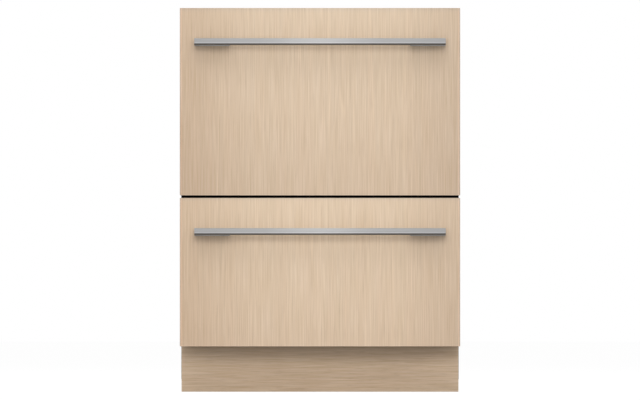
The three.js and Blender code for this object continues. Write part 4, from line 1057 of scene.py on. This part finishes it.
def arm_ring(x, bottom):
    """The spray arm's flattened oval section, narrowing from its hub to round tips."""
    thick, tip, hub, reach = ARM.thick, ARM.tip, ARM.hub, ARM.reach
    broad = hub + (tip - hub) * (abs(x) / reach)
    left = reach - abs(x)
    if left < tip:
        broad = min(broad, math.sqrt(max(tip * tip - (tip - left) ** 2, 0.01)))
    rise = thick * min(1.0, 0.62 + broad / hub * 0.38)
    ring = []
    for turn in turns(20):
        across = broad * math.copysign(abs(math.cos(turn)) ** 0.7, math.cos(turn))
        up = rise / 2 * math.copysign(abs(math.sin(turn)) ** 0.8, math.sin(turn))
        ring.append(at(x, TUB_MIDDLE + across, bottom + rise / 2 + up))
    return ring


def make_spray_arm(drawer, stations=36):
    """The arm, its stepped hub and three nozzles on each side."""
    bottom = LEVELS[drawer].floor + ARM.lift
    thick, root = ARM.thick, ARM.hub + 14
    places = [ARM.reach * math.sin(math.pi * (i / stations - 0.5)) for i in range(stations + 1)]
    arm = loft([arm_ring(x, bottom) for x in places])
    hub = lathe([(17, -6), (18, -5.4), (27, -0.5), (30, 2), (30, thick - 1), (28, thick + 1.5),
                 (21, thick + 6.5), (19.5, thick + 7.6), (17, thick + 8)], 0, TUB_MIDDLE, bottom, 40)
    nozzles = [at(side * (root + (ARM.reach - ARM.tip - root) * i / 3),
                  TUB_MIDDLE + side * (4 if i % 2 else -4), bottom + thick * 0.93 - 0.4)
               for i in (1, 2, 3) for side in SIDES]
    jets = grown("nozzle", "basket_plastic", nozzles, Base=6 * MM, Crown=4 * MM, Rise=3.2 * MM)
    add_piece(f"{drawer}_spray_rotor", f"{drawer}_spray_arm", "basket_plastic", [arm, hub, jets],
              [f"{drawer}_spray_arm"], 40)


def make_filter(drawer):
    """The filter plate: hoops with a grille of rings and spokes between them."""
    bottom = LEVELS[drawer].floor + 0.3

    def hoop(outer, inner, z0, z1):
        return loft([circle(radius, 0, TUB_MIDDLE, bottom + z, 64) for radius, z in (
            (outer, z0 + 0.4), (outer, z1 - 0.4), (outer - 0.4, z1), (inner + 0.4, z1), (inner, z1 - 0.4),
            (inner, z0 + 0.4), (inner + 0.4, z0), (outer - 0.4, z0))], closed=True)

    rings = [circle(radius, 0, TUB_MIDDLE, bottom + 1.5, 48) for radius in range(26, 69, 6)]
    parts = [hoop(98, 73, 0, 3), hoop(24, 14.5, 0, 3), hoop(75.5, 73.5, -8, 0.6),
             wires("basket_plastic", rings, 0.9, sides=5, closed=True),
             wires("basket_plastic", spokes(21, 75, 24, bottom + 1.5), 1.1, sides=6)]
    add_piece(f"{drawer}_filter_grille", f"{drawer}_drawer", "basket_plastic", parts,
              [f"{drawer}_filter_plate"], 40)


# ---- detergent dispensers

def make_dispenser(drawer):
    """The dispenser with its cup and guide rails, and the ribbed cover that slides between them."""
    front = TUB.front + 0.3
    back = front + DISPENSER.depth
    top = LEVELS[drawer].rim - DISPENSER.drop
    middle = top - DISPENSER.height / 2

    def frame_of(xs, half):
        return at(xs[0], 0, middle - half), at(xs[1], 0, middle + half)

    def ring(box, inset, radius, y):
        return front_ring(*box, inset * MM, radius * MM, at(0, y, 0).y, 6)

    body = frame_of((-DISPENSER.half, DISPENSER.half), DISPENSER.height / 2)
    rings = [ring(body, 0.6, 6, front), ring(body, 0, 6, front + 0.6)]
    rings += [ring(body, 3 * (1 - c), 6, back - 3 * (1 - s)) for s, c in quarter(4)]
    cup = frame_of(DISPENSER.cup, 25)
    rings += [ring(cup, inset, 9, back - sunk) for inset, sunk in (
        (-1.0, 0), (-0.3, 0.4), (0, 1.2), (1, 13), (2, 15.4), (5, 17))]
    parts, rail = [loft(rings)], (-72, 72)
    for side in SIDES:
        near = middle + side * 29.3
        parts.append(soft_block(rail, (back - 1, back + 5.2), (near, near + side * 3), 0.4))
        parts.append(soft_block(rail, (back + 3.6, back + 5.2), (near + side * 2, near - side * 3), 0.4))
    add_piece(f"{drawer}_dispenser_body", f"{drawer}_drawer", "white_plastic", parts,
              [f"{drawer}_dispenser"], 40)

    plate, face = frame_of(DISPENSER.cover, 29), back + 3.3
    rings = [ring(plate, inset, 3, y) for inset, y in (
        (0.4, back + 0.3), (0, back + 0.7), (0, face - 0.6), (0.6, face))]
    ridges = [at(DISPENSER.cover[1] - 16 + 4 * i, face + 0.7, middle) for i in range(3)]
    add_piece(f"{drawer}_dispenser_shutter", f"{drawer}_dispenser_cover", "basket_plastic",
              [loft(rings), blocks("basket_plastic", ridges, 1.6, 2, 40)], [f"{drawer}_dispenser_cover"], 40)


# ---- fasteners, feet and the inlet valve

QUARTER_TURN = math.pi / 2
OUT_RIGHT, OUT_LEFT = (0, QUARTER_TURN, 0), (0, -QUARTER_TURN, 0)
OUT_BACK, UP = (-QUARTER_TURN, 0, 0), (0, 0, 0)


def heads(places, turn, radius, rise):
    return grown("screw", "screw_zinc", places, Radius=radius * MM, Rise=rise * MM, Turn=turn)


def fix_screws(name, body, places, turn, radius):
    add_piece(name, body, "screw_zinc", [heads(places, turn, radius, 0.45 * radius)])


def make_rail_rivets(drawer):
    """Flat rivets that hold the ball cages' stops to the middle rails' webs."""
    z, web = LEVELS[drawer].runner, RUNNER.outer - RUNNER.step
    rows = [RUNNER.front + RUNNER.length * share for share in (0.04, 0.1, 0.3, 0.5, 0.7, 0.9, 0.96)]
    rivets = [heads([at(side * web, y, z) for y in rows], turn, 3.2, 0.4)
              for side, turn in ((-1, OUT_LEFT), (1, OUT_RIGHT))]
    add_piece(f"{drawer}_rail_rivets", f"{drawer}_slides", "screw_zinc", rivets)


def make_side_screws():
    """Each side panel's screws: up its rear edge, along both runners, and in a row low down."""
    face, rear_y, low_z = box_mm("side_panel_right")[0][1], 545, 120
    for name, side, turn in (("left", -1, OUT_LEFT), ("right", 1, OUT_RIGHT)):
        places = [at(side * face, rear_y, z) for z in (low_z, 235, 350, 500, 650, 790)]
        places += [at(side * face, y, LEVELS[drawer].runner)
                   for drawer in DRAWERS for y in (72, 200, 330, 470)]
        places += [at(side * face, y, low_z) for y in (90, 290)]
        fix_screws(f"side_screws_{name}", "cabinet", places, turn, 3.6)


def make_back_screws():
    """The back panel's screws: five down each edge, and three across its head and foot."""
    inset, recess = 14, 2.5
    (_, edge), (_, face), (low, high) = box_mm("back_panel")
    edge, face, low, high = edge - inset, face - recess, low + inset, high - inset
    places = [at(side * edge, face, low + (high - low) * i / 4) for side in SIDES for i in range(5)]
    places += [at(x, face, z) for x in (-150, 0, 150) for z in (low, high)]
    fix_screws("back_screws", "cabinet", places, OUT_BACK, 3.6)


def make_top_screws():
    face = box_mm("top_panel")[2][1] - 1.5
    places = [at(x, y, face) for x in (-265, 0, 265) for y in (56, 540)]
    fix_screws("top_screws", "cabinet", places, UP, 3.2)


def make_frame_screws(drawer):
    """Two rows of screws that hold a wood front to its drawer frame."""
    low, high, face = LEVELS[drawer].panel_bottom + 34, LEVELS[drawer].panel_top - 60, 3.3
    places = [at(x, face, z) for x in (-240, -60, 60, 240) for z in (low, high)]
    fix_screws(f"{drawer}_frame_screws", f"{drawer}_drawer", places, OUT_BACK, 4.0)


def make_foot(node):
    """A levelling foot: moulded pad, hexagon nut and threaded stud."""
    (x0, x1), (y0, y1), (_, top) = box_mm(node)
    x, y = (x0 + x1) / 2, (y0 + y1) / 2
    pad = lathe([(20.8, 0), (22, 1), (22, 4), (21.2, 5.2), (12.5, 12.2), (11, 13.2), (9, 16)], x, y, 0, 40)
    nut = lathe([(8.2, 16), (9, 17), (9, 26.6), (8.2, 27.7)], x, y, 0, 6)
    stud = lathe([(5.3, 27), (5.3, top - 1.4), (4.2, top)], x, y, 0, 24)
    rise = top - 32
    winding = thread("foot_plastic", at(x, y, 29), 5.4, rise, rise / 1.75)
    add_piece(f"{node}_leg", node, "foot_plastic", [pad, nut, stud, winding], [node], 35)


def make_inlet_valve():
    """The inlet valve: body, ribbed coil and threaded spigot."""
    white = "white_plastic"
    (x0, x1), (_, rear), (base, _) = box_mm("inlet_valve")
    x, back, spigot_z, coil_z = (x0 + x1) / 2, rear - 33.5, base + 17, base + 33
    coil_y = back - 22
    coil = lathe([(13.6, 0), (14, 0.4), (16.4, 2.6), (17, 3.4), (17, 19.6), (16.4, 20.4), (14, 22.6),
                  (13.6, 23)], x, coil_y, coil_z, 36)
    windings = thread(white, at(x, coil_y, coil_z + 3.5), 16.4, 16, 13.0)
    spigot = loft([[at(x + radius * math.cos(turn), back + out, spigot_z + radius * math.sin(turn))
                    for turn in turns(32)] for radius, out in (
        (15, -1), (15, 5.4), (14.4, 6), (12.4, 7.4), (12.4, 32), (11.6, 33.4), (7, 33.4), (7, 10))])
    spigot_thread = thread(white, Vector((0, 0, 0)), 12.3, 20, 9.0, 0.6)
    laid_back = Matrix.Rotation(-QUARTER_TURN, 4, "X")
    spigot_thread.transform(Matrix.Translation(at(x, back + 10, spigot_z)) @ laid_back)
    block = soft_block((x - 22, x + 22), (back - 44, back), (base, base + 34), 2.0)
    add_piece("inlet_valve_fitting", "cabinet", white, [block, coil, windings, spigot, spigot_thread],
              ["inlet_valve"], 40)


# ---- scene

make_camera()
make_floor()
make_world()
make_lights()
MATERIALS = make_materials()
TREES = {"wire": wire_tree(), "tine": tine_tree(), "slat": slat_tree(), "block": block_tree(),
         "screw": screw_tree(), "nozzle": nozzle_tree(), "thread": thread_tree()}
dress_nodes()
for drawer_name in DRAWERS:
    make_fronts(drawer_name)
make_plinth()
for drawer_name in DRAWERS:
    for make in (make_handle_bar, make_controls, make_tub, make_lid, make_rack, make_basket, make_spray_arm,
                 make_filter, make_dispenser, make_rail_rivets):
        make(drawer_name)
make_side_screws()
make_back_screws()
make_top_screws()
for drawer_name in DRAWERS:
    make_frame_screws(drawer_name)
for end in ("front", "rear"):
    for hand in ("left", "right"):
        make_foot(f"foot_{end}_{hand}")
make_inlet_valve()
bpy.context.scene.view_settings.view_transform = "Standard"
